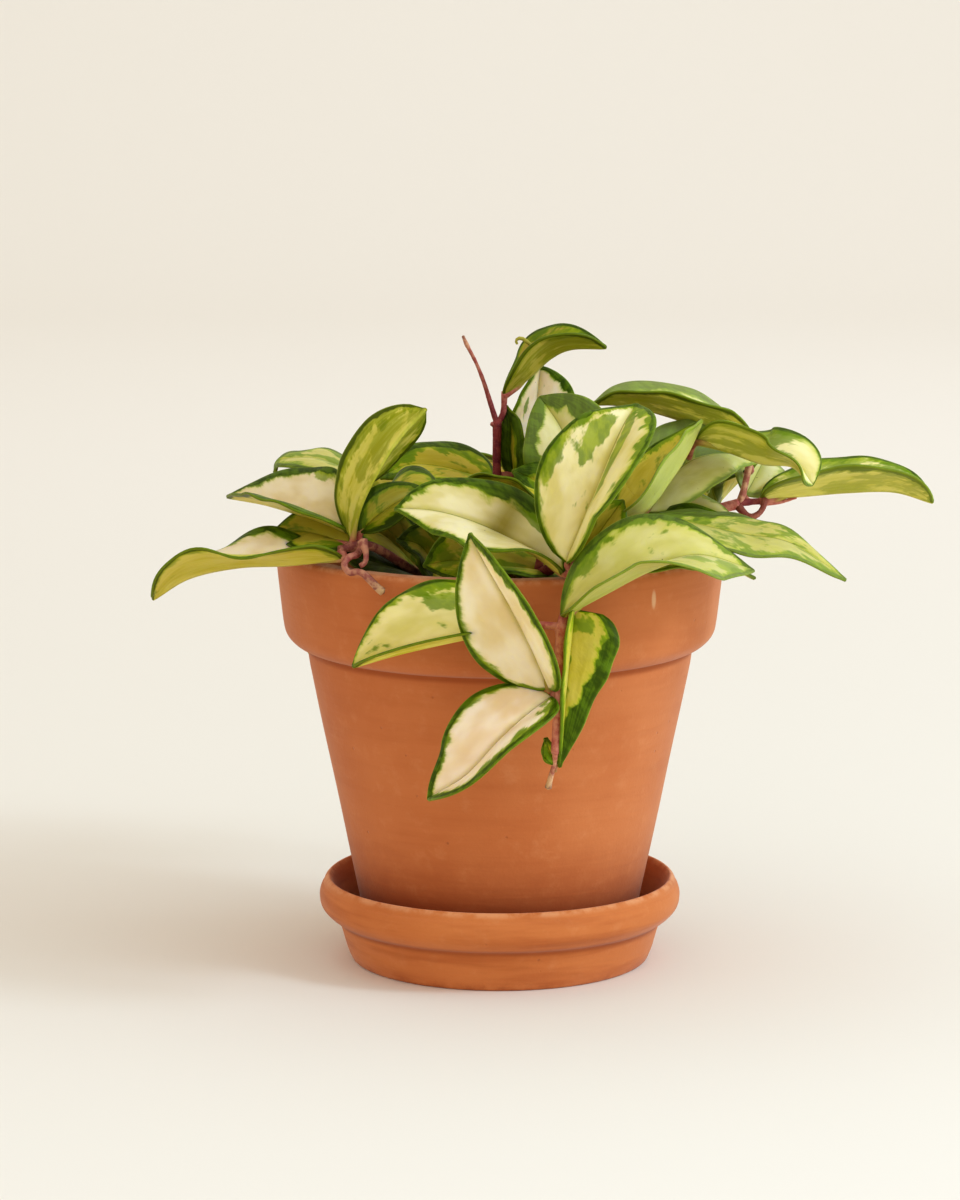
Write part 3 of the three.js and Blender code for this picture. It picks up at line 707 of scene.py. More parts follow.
fine = wire.vector(along / 0.6, across / 0.6, seed).noise(1.0, 2.0)
margin = green * (0.15 + lobes * 1.7) + (jag - 0.5) * 3.4 * green.rising(0.2, 3.0)
dark = (margin - edge).rising(-0.3, 0.4)
fringe = margin + lime * (blotches.rising(0.3, 0.72) * 1.5) + (jag - 0.4) * 2.0
bright = (fringe - edge).rising(-0.7, 0.7)
haze = (fringe + 0.8 - edge + (streaks - 0.5) * 16 * wash).rising(-1.2, 2.2)
isles = (streaks * 0.55 + blotches * 0.45 + wash * 0.2).rising(0.66, 0.73)
midrib = 1 - abs(across).rising(0.12, 0.4)
beside = 1 - abs(across).rising(0.3, 2.6)
rim = 1 - edge.rising(0.1, 0.35)
spot_gap = 3.4
spot_place = wire.vector(along, across, seed * 7)
spots = wire.node("TexVoronoi", None, {"Vector": spot_place, "Scale": 1 / spot_gap})
spot_kind = Wire(wire.tree, spots.socket.node.outputs["Color"]).parts()[0]
spot = (1 - spots.rising(0.04, 0.09)) * spot_kind.rising(0.9, 0.92)

cream = clouds.rising(0.35, 0.65).over(tint(218, 208, 134), tint(236, 226, 172))
cream = warm.over(cream, clouds.rising(0.3, 0.7).over(tint(230, 206, 168), tint(244, 228, 208)))
straw = streaks.rising(0.35, 0.65).over(tint(178, 162, 16), tint(202, 186, 58))
cream = (yellow * 0.9).over(cream, straw)
cream = (haze * 0.65).over(cream, tint(184, 188, 44))
cream = (beside * 0.4).over(cream, tint(184, 178, 48))
leaf_green = blotches.rising(0.38, 0.6).over(tint(152, 168, 18), tint(108, 136, 8))
deep_green = (jag * 0.6 + threads * 0.4).rising(0.42, 0.6).over(tint(58, 80, 2), tint(92, 118, 14))
face_up = (isles * 0.8).over(cream, leaf_green)
face_up = (bright * 0.9).over(face_up, leaf_green)
face_up = dark.over(face_up, deep_green)
# Painted sheen: silver and sheen lays a pale silvery green over the upper side, partly the leaf's own
# silvery tone and partly a painted sheen where light glances off the wax.
face_up = (silver_and_sheen * 0.45).over(face_up, tint(180, 188, 116))
face_up = (midrib * 0.7).over(face_up, tint(140, 142, 24))
face_up = (rim * 0.3).over(face_up, tint(126, 144, 40))

belly = streaks.rising(0.34, 0.66).over(tint(230, 220, 120), tint(198, 190, 52))
belly = (warm * 0.4).over(belly, tint(222, 198, 120))
belly = (yellow * 0.5).over(belly, tint(180, 168, 30))
belly = (haze * 0.5).over(belly, tint(190, 188, 40))
belly = (isles * 0.7).over(belly, tint(150, 156, 24))
belly_green = blotches.rising(0.38, 0.62).over(tint(164, 170, 20), tint(126, 140, 10))
belly = (bright * 0.8).over(belly, belly_green)
belly = (threads.rising(0.4, 0.7) * 0.3).over(belly, tint(214, 208, 110))
belly = (dark * 0.9).over(belly, tint(72, 88, 0))
pale_belly = (bright * 0.5 + dark * 0.5).over(tint(186, 188, 106), tint(138, 154, 52))
# Underneath, silver and sheen makes the blade pale and silvery: partly its own tone, partly painted
# sheen.
belly = silver_and_sheen.over(belly, pale_belly)
belly = (midrib * 0.6).over(belly, tint(178, 174, 64))
belly = (rim * 0.5).over(belly, tint(128, 140, 40))
skin = upper.over(belly, face_up)
skin = (spot * 0.85).over(skin, tint(112, 78, 44))
# Painted shade: the blade is darkened towards olive as far as its shade says, and more under its
# painted shadows.
skin = shade.over(skin, tint(150, 142, 26), way="MULTIPLY")
skin.feed("Base Color", shader)
(0.4 + fine * 0.1 + streaks * 0.08).feed("Roughness", shader)
(clouds * 0.0009 + blotches * 0.0004 + fine * 0.00002 + threads * 0.00008).relief(shader)

stem_finish, wire, shader = new_finish("maroon_stem", Specular_IOR_Level=0.3)
place = wire.node("TexCoord", output="Object")
ripe, dry, pink = wire.painted("stem_look")
mottle = place.noise(0.0025, 3.0, 0.6)
fuzz = place.noise(0.0005, 2.0)
colour = mottle.rising(0.35, 0.65).over(tint(112, 34, 46), tint(146, 64, 60))
colour = pink.over(colour, mottle.rising(0.35, 0.65).over(tint(196, 104, 88), tint(222, 154, 126)))
colour = (fuzz.rising(0.55, 0.75) * 0.3).over(colour, tint(186, 136, 124))
colour = ripe.rising(0.35, 0.95).over(colour, tint(168, 158, 62))
colour = dry.over(colour, mottle.rising(0.4, 0.6).over(tint(146, 100, 78), tint(204, 168, 122)))
colour.feed("Base Color", shader)
(0.55 + mottle * 0.2).feed("Roughness", shader)
(mottle * 0.0004 + fuzz * 0.00015).relief(shader)

front_stems = [
    # Painted shade: from the soil to the rim this stem is left maroon, without pink, where it runs
    # under the leaves.
    dict(points=[(4, -18, 128), (12, -40, 137), (20, -60, 144), (24, -73, 144.5), (23.5, -79, 140),
                 (20.5, -83, 133), (18.8, -86, 125), (18.4, -87, 113), (18, -87, 101),
                 (17.5, -87, 92), (17.3, -86.5, 87.5)],
         radius=(1.8, 1.8, 1.7, 1.5, 1.4, 1.5, 1.5), pink=(0, 0, 0.2, 0.8, 1, 0.7), planted=True),
    dict(points=[(17.3, -86.5, 88), (17, -86, 84), (15.8, -85, 79.3), (15, -85, 75.8)],
         radius=(1.1, 0.8, 0.8, 1.1), pink=1, dry=(0.1, 0.5, 0.7, 1)),
    dict(points=[(12, -40, 137), (14, -43, 150), (14, -44, 159)], radius=(1.4, 1.3)),
]
front_leaves = [
    dict(spine=[(21, -74, 146.5), (28, -73, 163), (33.4, -71, 177), (39, -65, 189), (43.6, -56, 195)],
         face=[(-0.1, -1, 0.1), (-0.1, -0.7, 0.6)], width=41, fold=(0, (76, 75, 56, 34, 24)),
         green=((1.6, 1.1, 0.9, 2, 3), (0.8, 1.6, 1.6, 3)), lime=((0.5, 1, 1, 3, 4), (0.5, 1, 3, 5)),
         warm=0.2, yellow=(0, 0.3), wash=0.35,
         patches=((0.66, -0.42, 0.12, 0.22, 2.4), (0.5, -0.4, 0.05, 0.08, 1.6),
                  (0.4, -0.86, 0.14, 0.1, 1.8), (0.64, 0.24, 0.3, 0.12, 2.2))),
    dict(spine=[(19, -85, 131.5), (33, -84, 139), (48, -80, 146), (63, -74, 149), (81, -62, 142)],
         face=[(0, -0.45, 0.89), (0, 0.1, 1)], width=38, fold=(43, (41, 45, 42, 8, -28, -34)),
         blunt=0.8, green=((1.2, 2.4, 2, 3.4, 2.5), (1.2, 1.4, 1.2, 1.2)),
         lime=((0.6, 1.5, 1.5, 3), (0.4, 1, 2)), warm=0.05, silver_and_sheen=(0.25, 0.75), yellow=(0.4, 0.3),
         wash=(0.45, 0.6), shade=0.1,
         patches=((0.24, -0.85, 0.05, 0.25, 2.4), (0.7, 0.35, 0.05, 0.15, 2),
                  (0.84, 0.5, 0.06, 0.25, 2.2))),
    dict(spine=[(27, -75, 145), (45, -67, 146), (58, -61, 146), (71, -56, 144), (82, -52, 138)],
         face=[(0, -0.13, 1)], width=24, fold=0, green=0.4, lime=1, warm=0, wash=0.6, yellow=1),
    dict(spine=[(22.8, -84, 133.5), (21.4, -86, 121), (20, -87, 106), (18.6, -86, 83)],
         face=[(0.7, -0.7, 0.1)], width=31, fold=(42, 35), blunt=0.3, halves=(1, 0.5),
         green=((4, 6, 5, 5), (0.2, 0.2, 0.5)), lime=((3, 0.5, 0.5), 0.5), warm=0, yellow=0.9,
         wash=0.45, patches=((0.12, 0.2, 0.08, 0.6, 1.6),)),
    dict(spine=[(15.6, -88, 108.5), (10, -93.6, 122.5), (3, -97.4, 137), (-3.6, -99.2, 149),
                (-9.8, -97.6, 160)],
         face=[(-0.2, -1, 0.3), (-0.2, -1, 0.1)], width=37, fold=(0, 64),
         green=((2.4, 1.4, 0.9, 1.6), (1.6, 1.6, 2.8, 2.4)), lime=((1.5, 1, 0.3, 0.5), (1.5, 1.5, 1)),
         warm=0.7, wash=0.1),
    dict(spine=[(16, -88, 106), (8, -94.4, 101), (0, -98, 94), (-11, -98, 82), (-23, -94.4, 74)],
         face=[(-0.2, -1, 0.3)], width=34, fold=((45, 65, 75), 0), blunt=0.7, point=0.75,
         green=((4, 2.2, 2), (1, 1.6, 1.4, 2.5)), lime=((4, 1.5, 0.5), (0.5, 0.8, 0.5)), warm=1,
         wash=0, patches=((0.08, -0.4, 0.1, 0.5, 1.2),)),
    dict(spine=[(12, -86, 129), (-1, -87, 127), (-17, -89, 124), (-33, -88, 120), (-47, -84, 115)],
         face=[(0, -0.75, 0.6), (-0.1, -0.75, 0.6)], width=42, fold=(70, 10), blunt=0.9, point=0.8,
         halves=(0.45, 1), green=(1.2, (1.2, 1.6, 1.2, 1.2)), lime=(1, (3, 5, 2, 1)), warm=0.05,
         wash=0.3, yellow=0.25, patches=((0.46, 0.6, 0.14, 0.2, 1.6), (0.12, 0.3, 0.08, 0.5, 1.2))),
    dict(spine=[(17.4, -86, 84), (15.6, -85.6, 87.5), (14.2, -85, 92)],
         face=[(-0.3, -0.6, 0.5)], width=5.5, fold=(20, 10), green=(0.7, 0.5), yellow=1, wash=0.8,
         stalk=0.6),
    dict(spine=[(20, -72, 143), (8, -66, 150), (-7, -62, 157), (-21, -61, 161), (-34, -62, 162)],
         face=[(0, -0.54, 0.84)], width=39, fold=((62, 40, 18, 16, 20), 17), blunt=0.8,
         halves=(1, 0.88), wave=((1.5, 2, 0.1), (0.8, 2, 0.4)),
         green=((1.4, 1.2, 1.6, 1), (1, 3.5, 6, 2.2, 2)), lime=((0.3, 0.5), (0.5, 1, 1)), warm=0.3,
         wash=0.1, shade=0.14, patches=((0.28, 0.8, 0.1, 0.25, 3.2),),
         # Painted shadows: a soft olive band of shade across the middle of this blade.
         painted_shadows=((0.4, 0.25, 0.07, 0.7, 0.75), (0.2, 0, 0.1, 0.5, 0.4))),
    dict(spine=[(14, -44, 159), (6, -40, 163), (-4, -36, 165), (-17, -32, 163.5)],
         face=[(0, 0.3, 1)], width=24, fold=20, green=1.5, yellow=1, wash=1),
    dict(spine=[(20, -38, 136), (8, -42, 139), (-6, -46, 140), (-20, -48, 135)],
         face=[(0, -0.3, 1)], width=24, fold=15, green=2, yellow=1, wash=1, shade=0.15),
    dict(spine=[(6, -30, 132), (-5, -40, 139), (-14, -48, 143), (-25, -52, 142)],
         face=[(0, -0.85, 0.55)], width=28, fold=15, green=(1.2, 2), yellow=1, wash=1, shade=0.15),
    dict(spine=[(22, -46, 141), (29, -51, 149), (34, -52, 156), (39.5, -52, 163.4)],
         face=[(0, -0.9, 0.5)], width=24, fold=15, green=0.5, yellow=1, wash=0.7, shade=0.2),
]
for piece in grow("front", front_stems, front_leaves, seed=1):
    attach(piece, "root")
    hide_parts("leafy_stem_front")


# The left stem comes over the rim and ends in a dried, curled shoot below its leaves. Its
# lowest leaf is long and wavy, and lies out over the rim.
left_stems = [
    dict(points=[(-20, -16, 128), (-31, -34, 139), (-41, -45, 147), (-47, -48, 148), (-52, -51, 147)],
         radius=(1.6, 1.5, 1.4), pink=0, dry=0.35, planted=True),
    dict(points=[(-45, -50, 148), (-46.2, -59, 147), (-48.6, -63, 146.8), (-50.2, -65, 144.6),
                 (-48.6, -66, 142.3), (-46, -66.5, 142.6), (-44, -67, 142), (-42, -68, 140.3),
                 (-39.3, -69.5, 137.8), (-37.7, -70, 136.6)],
         radius=(1.3, 1.15, 1.05, 1.1, 1.25, 1.4), pink=0.25, dry=(0.2, 0.2, 0.3, 0.4, 1)),
    dict(points=[(-45, -65, 144.2), (-43.4, -64, 145.4), (-43.3, -62, 148.2), (-44.4, -60, 151.6)],
         radius=(0.9, 0.8, 1.0, 1.7), pink=0.25, dry=(0.2, 0.3, 0.3, 0.4)),
]
left_leaves = [
    dict(spine=[(-51, -52, 145), (-68, -52, 143), (-85, -51, 142), (-101, -49, 138),
                (-113, -45, 130)],
         face=[(0, 0, 1), (-0.3, 0, 1)], width=30, fold=(30, (44, 34, 28, 26)), blunt=0.7, point=0.65,
         wave=((3, 1.7, 0.05), (3.2, 1.7, -0.3)), green=(1.2, (3, 2.4, 2, 1.4)), lime=(1, (0.5, 1)),
         warm=0.8, wash=(0.5, 0), yellow=(0.8, 0), shade=0.1),
    dict(spine=[(-49, -47, 148), (-57, -43, 150), (-66, -38, 151), (-75, -32, 149.5)],
         face=[(0, -0.6, 0.8)], width=23, fold=15, green=2, shade=0.35, yellow=1, wash=0.8),
    dict(spine=[(-48.5, -45, 152), (-59, -39, 155.2), (-68, -32.5, 157), (-78, -24, 158.4),
                (-90, -15, 159)],
         face=[(0, -0.33, 1)], width=37, fold=35, green=((6, 6, 5, 1.6), (3, 2.4, 3.4, 1.4)),
         lime=(0.3, 0.5), warm=0.7, wash=0, shade=0.14, patches=((0.42, 0.9, 0.1, 0.22, 2.6),)),
    dict(spine=[(-48, -48, 150), (-45.6, -50, 160.5), (-40.5, -48.5, 171), (-33.6, -42.5, 181.5),
                (-24.3, -34.5, 190.8)],
         face=[(-0.3, 0.92, 0), (0, 0.95, 0.3)], width=30, fold=((86, 84, 74, 54, 30), 50),
         blunt=0.75, point=0.5, green=((1, 1, 1.5, 2), (1, 1, 1.4, 2)), lime=((1, 1, 3), (1, 3, 6)),
         warm=0.3, yellow=0.35, wash=1.1, shade=0.28),
    dict(spine=[(-45.5, -46, 152), (-38.7, -42, 157.6), (-30.7, -36, 161.5), (-22, -30, 162)],
         face=[(0, -0.7, 0.7), (0, -0.6, 0.7)], width=17, fold=20, green=((3, 2), 3), shade=0.5,
         yellow=1, wash=0.8),
    dict(spine=[(-20, -20, 130), (-23, -27, 139), (-27, -30, 145), (-34, -31, 147)],
         face=[(0.3, -0.6, 0.6), (0.1, -0.6, 0.7)], width=22, fold=20, green=3, yellow=1, wash=1,
         shade=0.6),
    # Painted shade: this low leaf is all dark green and in full painted shade, for the dark hollow
    # behind the left stem's base.
    dict(spine=[(-24, -24, 131), (-34, -38, 138), (-43, -47, 142.5), (-52, -49, 145)],
         face=[(0, -0.5, 0.9)], width=22, fold=10, green=14, yellow=1, shade=1.3),
    dict(spine=[(-18, -22, 130), (-14, -30, 138), (-15, -38, 145), (-20, -43, 149)],
         face=[(0.2, -0.9, 0.4)], width=24, fold=15, green=2, yellow=1, wash=1),
]
for piece in grow("left", left_stems, left_leaves, seed=2):
    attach(piece, "root")
    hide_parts("leafy_stem_left")


# The inner left stem is a short shoot that stands in the soil inside the rim, behind the left
# one. It has three leaves, and the largest bends down at its tip.
inner_left_stems = [
    dict(points=[(-28, -2, 128), (-33, -5, 143), (-39, -6, 154), (-43, -5, 159)], radius=(1.6, 1.4),
         planted=True),
]
inner_left_leaves = [
    dict(spine=[(-43, -5, 159), (-52, -4, 166.4), (-60, -3, 169.4), (-68, -2, 169.6),
                (-73.6, -1, 168.4), (-75, -1, 165)],
         face=[(-0.1, -0.1, 1), (-0.6, -0.1, 0.7)], width=24, fold=0, point=1.3, green=(1.6, 3),
         lime=(2, 3), warm=0, wash=0.8, yellow=0.6, silver_and_sheen=0.4, shade=0.1),
    dict(spine=[(-39, -12, 153), (-34, -14, 159), (-28, -15, 162), (-22, -15, 158), (-17, -14, 150)],
         face=[(-0.5, -0.2, 0.6), (0.3, -0.2, 0.8)], width=24, fold=10, green=4, lime=2, shade=0.2,
         yellow=1, wash=0.9),
    dict(spine=[(-28, -5, 133), (-35, -10, 142), (-43, -13, 148), (-52, -12, 151)],
         face=[(0, -0.6, 0.8)], width=26, fold=15, green=3, shade=0.4, yellow=1, wash=0.8),
]
for piece in grow("inner_left", inner_left_stems, inner_left_leaves, seed=3):
    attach(piece, "root")
    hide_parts("leafy_stem_inner_left")


# The upright stem stands in the middle of the pot. It forks into a bare twig and a short
# branch with one arching leaf, and three leaves stand close round it lower down.
upright_stems = [
    dict(points=[(4, 10, 128), (1, 4, 147), (-1, 1, 164), (-1, 0, 182)], radius=(1.9, 1.7, 1.35, 1.5),
         pink=(0.1, 0.1, 0, 0), planted=True),
    dict(points=[(-1, 0, 181), (-3.4, -1, 188.8), (-5.5, -2, 195.6), (-8, -3, 202), (-11, -4, 208),
                 (-12.3, -4, 211)],
         radius=(1.0, 0.85, 0.75, 0.65, 0.6, 0.75, 0.5), pink=(0, 0.3, 0.6, 0.8),
         dry=(0, 0, 0, 0.2, 1)),
    dict(points=[(-1, 0, 181), (0.9, 0, 184.5), (1.3, 0, 188), (1.4, 0, 192)], radius=(1.1, 0.95),
         pink=(0, 0.5)),
    dict(points=[(-1, 0, 180), (-2.3, -0.5, 181), (-3, -0.8, 181.4)], radius=(0.9, 0.7)),
    dict(points=[(10.4, -3, 207.6), (8, -4, 209.8), (6.3, -4, 210.3), (5.2, -4, 209.5),
                 (5.6, -4, 208.4)],
         radius=(0.7, 0.6, 0.45), pink=0, green=1),
]
upright_leaves = [
    dict(spine=[(1, 0, 191), (9.2, -2, 197.4), (16.4, -3, 204), (23.6, -4, 207.2), (35, -2, 207)],
         face=[(-0.6, 0, 0.8), (0.2, 0, 1)], width=24.5, fold=(48, 36), blunt=0.85, point=0.85,
         green=((1, 1.2, 1.6), (0.8, 1, 1.6)), lime=((1, 2.5), (1, 2)), warm=1, yellow=1, shade=0.34,
         wash=1.2),
    dict(spine=[(11, 8, 165), (11, 9, 177), (12, 9, 189), (13, 6, 200)],
         face=[(0.6, -0.8, 0.4), (0.5, -0.8, 0.5)], width=30, fold=20, blunt=0.7, point=0.7,
         halves=(0.8, 1), green=((0.8, 0.8, 1), (3, 3, 4)), lime=(0.3, 0.5), warm=1, wash=0,
         patches=((0.6, -0.6, 0.16, 0.12, 1.6), (0.8, 0.2, 0.08, 0.1, 1.2))),
    dict(spine=[(5, 4, 162), (4, 3, 172), (4, 2, 180), (2, 2, 187)],
         face=[(-0.5, -0.8, 0)], width=18, fold=30, halves=(0.5, 1), green=4, yellow=1, shade=0.3),
    dict(spine=[(-2, 12, 160), (-11, 13, 162.5), (-21, 12, 165), (-31, 11, 165.4), (-40, 10, 161.4)],
         face=[(0, -0.5, 0.86)], width=25, fold=8, green=3, lime=4, yellow=1, wash=0.9),
]
for piece in grow("upright", upright_stems, upright_leaves, seed=4):
    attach(piece, "root")
    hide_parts("leafy_stem_upright")


# The near right stem is a short shoot that stands in the soil just inside the front right of
# the rim. It has two broad leaves.
near_right_stems = [
    dict(points=[(28, -26, 128), (32, -33, 142), (36, -40, 153)], radius=(1.6, 1.4), planted=True),
]
near_right_leaves = [
    dict(spine=[(37, -42, 155), (47, -42, 159), (55, -36, 168), (61, -28, 176), (66, -20, 185)],
         face=[(-0.6, -0.4, 0.6)], width=36, fold=(25, 48), green=(1.5, (0.8, 1, 1)),
         lime=((1, 2, 3), (1, 2)), warm=0, yellow=(1, 0.2), silver_and_sheen=(0, 0.9), wash=(0.5, 0.7)),
    dict(spine=[(50, -44, 157), (65, -46, 154), (79, -46, 151), (94, -46, 148), (112, -44, 136)],
         face=[(0.2, -0.1, 0.95), (0.4, -0.2, 0.9)], width=33, fold=(5, -5),
         green=((14, 14, 5, 1.4, 1.4, 1.4), (0.7, 0.9, 0.9)), lime=((1, 3, 3), 2), warm=0,
         yellow=0.55, silver_and_sheen=(0.35, 0.6), wash=0.8, shade=0.12),
]
for piece in grow("near_right", near_right_stems, near_right_leaves, seed=5):
    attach(piece, "root")
    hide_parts("leafy_stem_near_right")


# The right stem rises from the soil over the right of the pot. The high, arching leaf grows
# from its end and seven more stand along it, the lowest of them in the shade.
right_stems = [
    dict(points=[(34, -8, 128), (42, -10, 143), (52, -7, 156), (60, -4, 166), (71, 2, 170),
                 (83, 5, 174)],
         radius=(1.8, 1.6, 1.4), planted=True),
]
right_leaves = [
    dict(spine=[(83, 5, 174), (73, 2, 178), (63, 0, 182), (50, 0, 186), (39, 0, 188), (31, 0, 188)],
         face=[(0, 0, 1)], width=31, fold=(34, 37), green=((1.4, 1.8, 1.6), (3, 5, 3)), lime=(0.6, 1),
         warm=0, wash=(1.4, 0.3), silver_and_sheen=(0.15, 0.95)),
    dict(spine=[(64, -20, 178), (74, -23, 176), (86, -25, 172), (95.6, -26, 171), (102, -26, 164.4)],
         face=[(0, 0.5, 0.8), (0.1, -0.5, 0.9)], width=29, fold=(42, (38, 38, 20)), blunt=0.6,
         point=0.65, green=((1.2, 1.4, 1), (1.2, 0.9, 0.8)), lime=((1.5, 0.8, 0.3), (1, 0.5, 0.3)),
         warm=0.2, silver_and_sheen=(0.1, 0.3), wash=1.1, patches=((0.92, 0, 0.2, 2, -1.3),)),
    dict(spine=[(48, -24, 155), (54, -18, 163), (61, -12, 169), (68, -6, 171), (76, -1, 171),
                (86, 2, 168)],
         face=[(0, -0.8, 0.6), (0, -0.7, 0.7)], width=31, fold=20, green=((16, 16, 12), 0.7),
         lime=(1, 0.5), warm=0, silver_and_sheen=(0.8, 0.9), wash=(0.1, 0)),
    dict(spine=[(28, -8, 160), (24, -9, 170), (20, -9, 181), (13, -6, 191)],
         face=[(0.15, -1, 0.3), (0.1, -1, 0.4)], width=33, fold=(10, 20), blunt=0.75, point=0.8,
         green=((4, 5, 5, 5), (11, 11, 9, 4)), lime=0.6, warm=0.4, silver_and_sheen=0.5, wash=0.2),
    dict(spine=[(26, -10, 152), (19, -14, 158), (12, -17, 164), (4, -18, 168)],
         face=[(0, -0.8, 0.6)], width=20, fold=10, green=5, yellow=1, wash=0.8, shade=0.2),
    dict(spine=[(49, -14, 150), (60, -12, 153), (70, -10, 153), (78, -8, 149)],
         face=[(0, -0.3, 1), (0.2, -0.3, 1)], width=22, fold=10, green=1.4, warm=0.2, silver_and_sheen=0.6,
         shade=0.35),
    dict(spine=[(37, -12, 131), (46, -20, 140), (54, -24, 143), (61, -25, 142)],
         face=[(0, -0.3, 1)], width=22, fold=15, green=3, shade=0.5),
    dict(spine=[(46, -20, 149), (56, -32, 152), (68, -35, 151.8), (80, -37, 148.6)],
         face=[(0, -0.8, 0.7)], width=16, fold=10, green=7, yellow=1, shade=0.25),
]
for piece in grow("right", right_stems, right_leaves, seed=6):
    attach(piece, "root")
    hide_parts("leafy_stem_right")


# The far right stem is rooted inside the rim and reaches out over it, and it turns once round
# before its last leaf. Two more leaves stand behind that one.
far_right_stems = [
    dict(points=[(42, 8, 128), (52, 6, 142), (61, 4, 150), (72.8, 3, 152.3), (79.6, 3, 153.8)],
         radius=(1.8, 1.7, 1.5, 1.9), pink=(0, 0.2, 0.6, 0.7), planted=True),
    dict(points=[(79, 3, 154), (83.5, 4, 154.4), (88, 4, 154.6)], radius=(1.2, 0.95), pink=0.1),
    dict(points=[(79.6, 2.5, 153), (82, 1, 150.4), (84.4, 0.5, 150), (86.6, 1, 151.2), (88, 2, 153.4),
                 (88.4, 3, 155.6)],
         radius=(1.4, 1.1, 1.0, 1.1), pink=0.2, green=0.45),
    dict(points=[(80, 3.4, 154), (81.4, 4, 158.6), (82.6, 5, 163.6), (83.2, 6, 167.4)],
         radius=(1.3, 1.1, 1.1), pink=0.9, dry=0.5),
    dict(points=[(88, 4, 153.6), (93.6, 5, 154.2), (99, 5, 155.6)], radius=(0.8, 0.7, 0.4), pink=0.7),
]
far_right_leaves = [
    dict(spine=[(87, 4, 156), (102, 5, 157), (117, 6, 158), (132, 6, 158), (144.8, 6, 154)],
         face=[(0, 0, 1), (0.3, 0, 1)], width=31, fold=(38, 40), blunt=0.6, point=0.65,
         green=((1, 1.2), (2.5, 3, 2)), lime=(1.5, (1, 2)), warm=0, wash=(1.2, 0.9), silver_and_sheen=(0, 0.4)),
    dict(spine=[(84, 12, 164), (82, 22, 161), (78, 30, 155), (73, 36, 148)],
         face=[(-0.3, -0.5, 0.8)], width=27, fold=10, green=4, yellow=1, wash=0.8, shade=0.2),
    dict(spine=[(82, 8, 156), (85, 14, 160), (88, 22, 164), (90, 30, 166)],
         face=[(0.3, -0.9, 0.4)], width=22, fold=10, blunt=0.7, point=0.5, green=3, silver_and_sheen=1),
]
for piece in grow("far_right", far_right_stems, far_right_leaves, seed=8):
    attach(piece, "root")
    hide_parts("leafy_stem_far_right")


# The back left stem is rooted behind the middle of the pot. It goes over the rim and hangs
# down outside it, with seven leaves.
back_left_stems = [
    dict(points=[(-14, 18, 128), (-24, 34, 142), (-33, 50, 148), (-38, 64, 149), (-41, 75, 146),
                 (-42, 80, 136), (-42, 81, 122), (-42, 80, 108)],
         radius=(1.8, 1.7, 1.5, 1.2), planted=True),
]
back_left_leaves = [
    dict(spine=[(-32, 46, 147), (-45, 52, 149), (-56, 62, 146), (-63, 72, 137)],
         face=[(-0.2, 0, 1), (-0.5, 0.3, 0.8)], width=28, fold=25, green=(2, (3, 2))),
    dict(spine=[(-42, 76, 147), (-52, 92, 153), (-60, 108, 147), (-64, 122, 133)],
         face=[(0, 0.1, 1), (-0.2, 0.5, 0.8)], width=32, fold=(20, 30), green=((2, 3), 2), warm=0.5),
    dict(spine=[(-37, 68, 148), (-20, 84, 151), (-2, 94, 146), (14, 102, 133)],
         face=[(0, 0.4, 1), (0.3, 0.4, 0.8)], width=34, fold=(25, 20), green=((3, 2), (1.5, 3)),
         warm=0.1),
    dict(spine=[(-44, 82, 126), (-54, 89, 113), (-60, 93, 96), (-62, 94, 78)],
         face=[(-0.3, 1, 0.3), (-0.3, 1, 0.1)], width=28, fold=(15, 30), green=(2, (5, 4))),
    dict(spine=[(-40, 83, 123), (-27, 92, 110), (-14, 96, 94), (-4, 96, 76)],
         face=[(0.2, 1, 0.4), (0.2, 1, 0.1)], width=34, fold=(30, 15), green=((1.6, 2), 2), warm=0.8),
    dict(spine=[(-42, 81, 106), (-42, 86, 92), (-40, 88, 76), (-36, 86, 60)],
         face=[(0, 1, 0.2), (0, 1, 0)], width=26, fold=20, green=((2, 3), 2), warm=0.5),
    dict(spine=[(-24, 30, 141), (-32, 34, 154), (-38, 38, 163), (-42, 40, 170)],
         face=[(-0.5, 0.7, 0.4)], width=24, fold=(20, 25), green=3),
]
for piece in grow("back_left", back_left_stems, back_left_leaves, seed=9):
    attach(piece, "root")
    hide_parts("leafy_stem_back_left")


# The back right stem goes over the rim beside it and hangs down less far. It has five leaves,
# one of which stands up behind the middle of the plant.
back_right_stems = [
    dict(points=[(20, 22, 128), (29, 36, 142), (38, 52, 148), (44, 62, 149), (48, 71, 145),
                 (49, 75, 134), (48, 76, 120)],
         radius=(1.8, 1.7, 1.5, 1.3), planted=True),
]
back_right_leaves = [
    dict(spine=[(38, 52, 149), (52, 60, 155), (64, 70, 154), (73, 80, 146)],
         face=[(0.2, 0.2, 1), (0.4, 0.4, 0.8)], width=28, fold=25, green=((3, 2), 2)),
    dict(spine=[(45, 66, 149), (37, 86, 157), (28, 104, 153), (18, 120, 140)],
         face=[(0, 0.2, 1), (-0.2, 0.5, 0.8)], width=34, fold=25, green=((2, 3), (1.6, 2)), warm=0.6),
    dict(spine=[(49, 73, 145), (59, 88, 148), (66, 100, 142), (70, 112, 128)],
         face=[(0.2, 0.3, 1), (0.5, 0.5, 0.7)], width=30, fold=(20, 30), green=((4, 5), (3, 4)),
         lime=4),
    dict(spine=[(48, 79, 124), (43, 88, 111), (34, 93, 95), (27, 92, 78)],
         face=[(0, 1, 0.3), (0, 1, 0)], width=34, fold=(25, 20), green=2, warm=0.3),
    dict(spine=[(29, 36, 145), (27, 44, 160), (23, 50, 170), (17, 54, 177)],
         face=[(0.2, 0.8, 0.4)], width=28, fold=20, green=3),
]
for piece in grow("back_right", back_right_stems, back_right_leaves, seed=10):
    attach(piece, "root")
    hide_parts("leafy_stem_back_right")


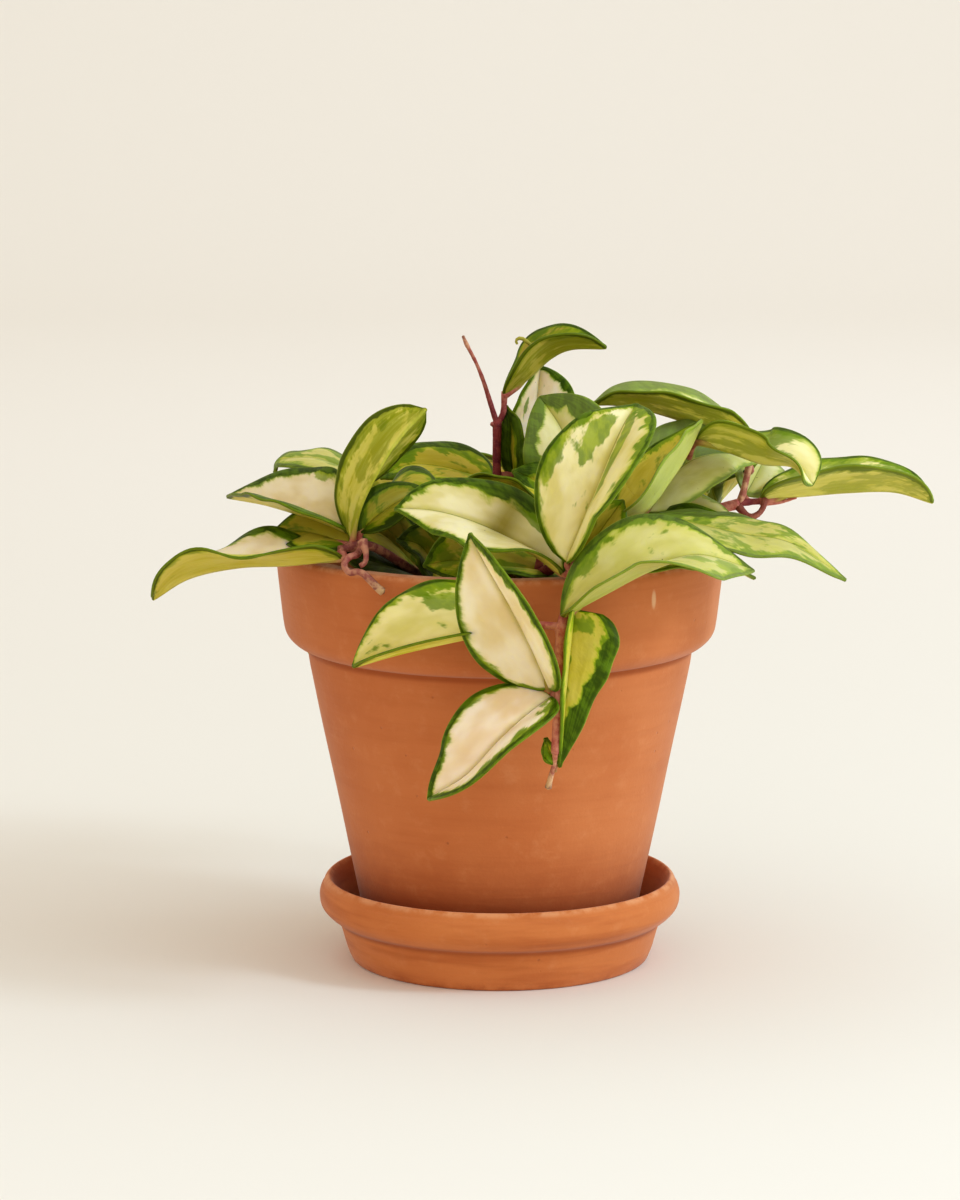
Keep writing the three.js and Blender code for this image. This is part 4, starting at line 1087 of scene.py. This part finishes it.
# The studio is a pale sweep of paper that lies flat under the plant and curves up far behind
# it. A soft lamp and a wide screen stand at the front right, a faint lamp fills the front, one
# more lights the paper behind, and even light comes from all round.
sweep_finish, wire, shader = new_finish("pale_paper", Roughness=0.9, Specular_IOR_Level=0.1)
shader.inputs["Base Color"].default_value = tint(236, 230, 219)
floor_start, floor_end = -2500, 1900
bend_radius, bend_steps = 1300, 24
paper_side, paper_top = 3000, 3000
sweep = [(floor_start, 0), (floor_end, 0)]
for step in range(1, bend_steps + 1):
    turn = math.pi / 2 * step / bend_steps
    sweep.append((floor_end + bend_radius * math.sin(turn), bend_radius * (1 - math.cos(turn))))
sweep.append((floor_end + bend_radius, paper_top))
points = [(side, y, z) for y, z in sweep for side in (-paper_side, paper_side)]
faces = [(2 * row, 2 * row + 1, 2 * row + 3, 2 * row + 2) for row in range(len(sweep) - 1)]
paper = new_piece("paper_sweep", points, faces, sweep_finish)
paper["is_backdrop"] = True

look_at = Vector((-6.7, 0, 121.8)) * mm
camera_pitch = math.radians(9.9)
camera_distance = 1.6
camera_data = bpy.data.cameras.new("camera")
camera_data.sensor_width = 36
camera_data.lens = 143.55
camera = bpy.data.objects.new("camera", camera_data)
bpy.context.scene.collection.objects.link(camera)
towards_camera = Vector((0, -math.cos(camera_pitch), math.sin(camera_pitch)))
camera.location = look_at + towards_camera * camera_distance
camera.rotation_euler = (math.pi / 2 - camera_pitch, 0, 0)
bpy.context.scene.camera = camera


def soft_light(name, size, watts, colour, direction, distance, aim=(0, 0, 0.1)):
    """A square, soft lamp that looks at its aim from that direction and distance, in metres."""
    lamp_data = bpy.data.lights.new(name, "AREA")
    lamp_data.size = size
    lamp_data.energy = watts
    lamp_data.color = colour
    lamp = bpy.data.objects.new(name, lamp_data)
    bpy.context.scene.collection.objects.link(lamp)
    away = Vector(direction).normalized()
    lamp.location = Vector(aim) + away * distance
    lamp.rotation_euler = away.to_track_quat("Z", "Y").to_euler()


soft_light("soft_lamp", size=0.4, watts=8.8, colour=(0.78, 1.0, 1.22),
           direction=(0.78, -0.34, 0.6), distance=2.0)
soft_light("wide_screen", size=1.6, watts=11.2, colour=(0.72, 1.0, 1.26),
           direction=(0.9, -0.3, 0.3), distance=1.8)
soft_light("front_fill", size=1.4, watts=2.5, colour=(1.0, 0.96, 0.92),
           direction=(-0.25, -1, 0.1), distance=2.0)
soft_light("wall_lamp", size=1.2, watts=2.4, colour=(0.86, 1.0, 1.3),
           direction=(0.1, -1.2, 1.0), distance=1.6, aim=(0.3, 2.5, 0.2))

world = bpy.data.worlds.new("studio")
world.use_nodes = True
background = world.node_tree.nodes["Background"]
background.inputs["Color"].default_value = (1.0, 0.968, 0.92, 1)
background.inputs["Strength"].default_value = 0.785
bpy.context.scene.world = world
bpy.context.scene.view_settings.view_transform = "Standard"
bpy.context.scene.view_settings.look = "Medium High Contrast"

low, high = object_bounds()
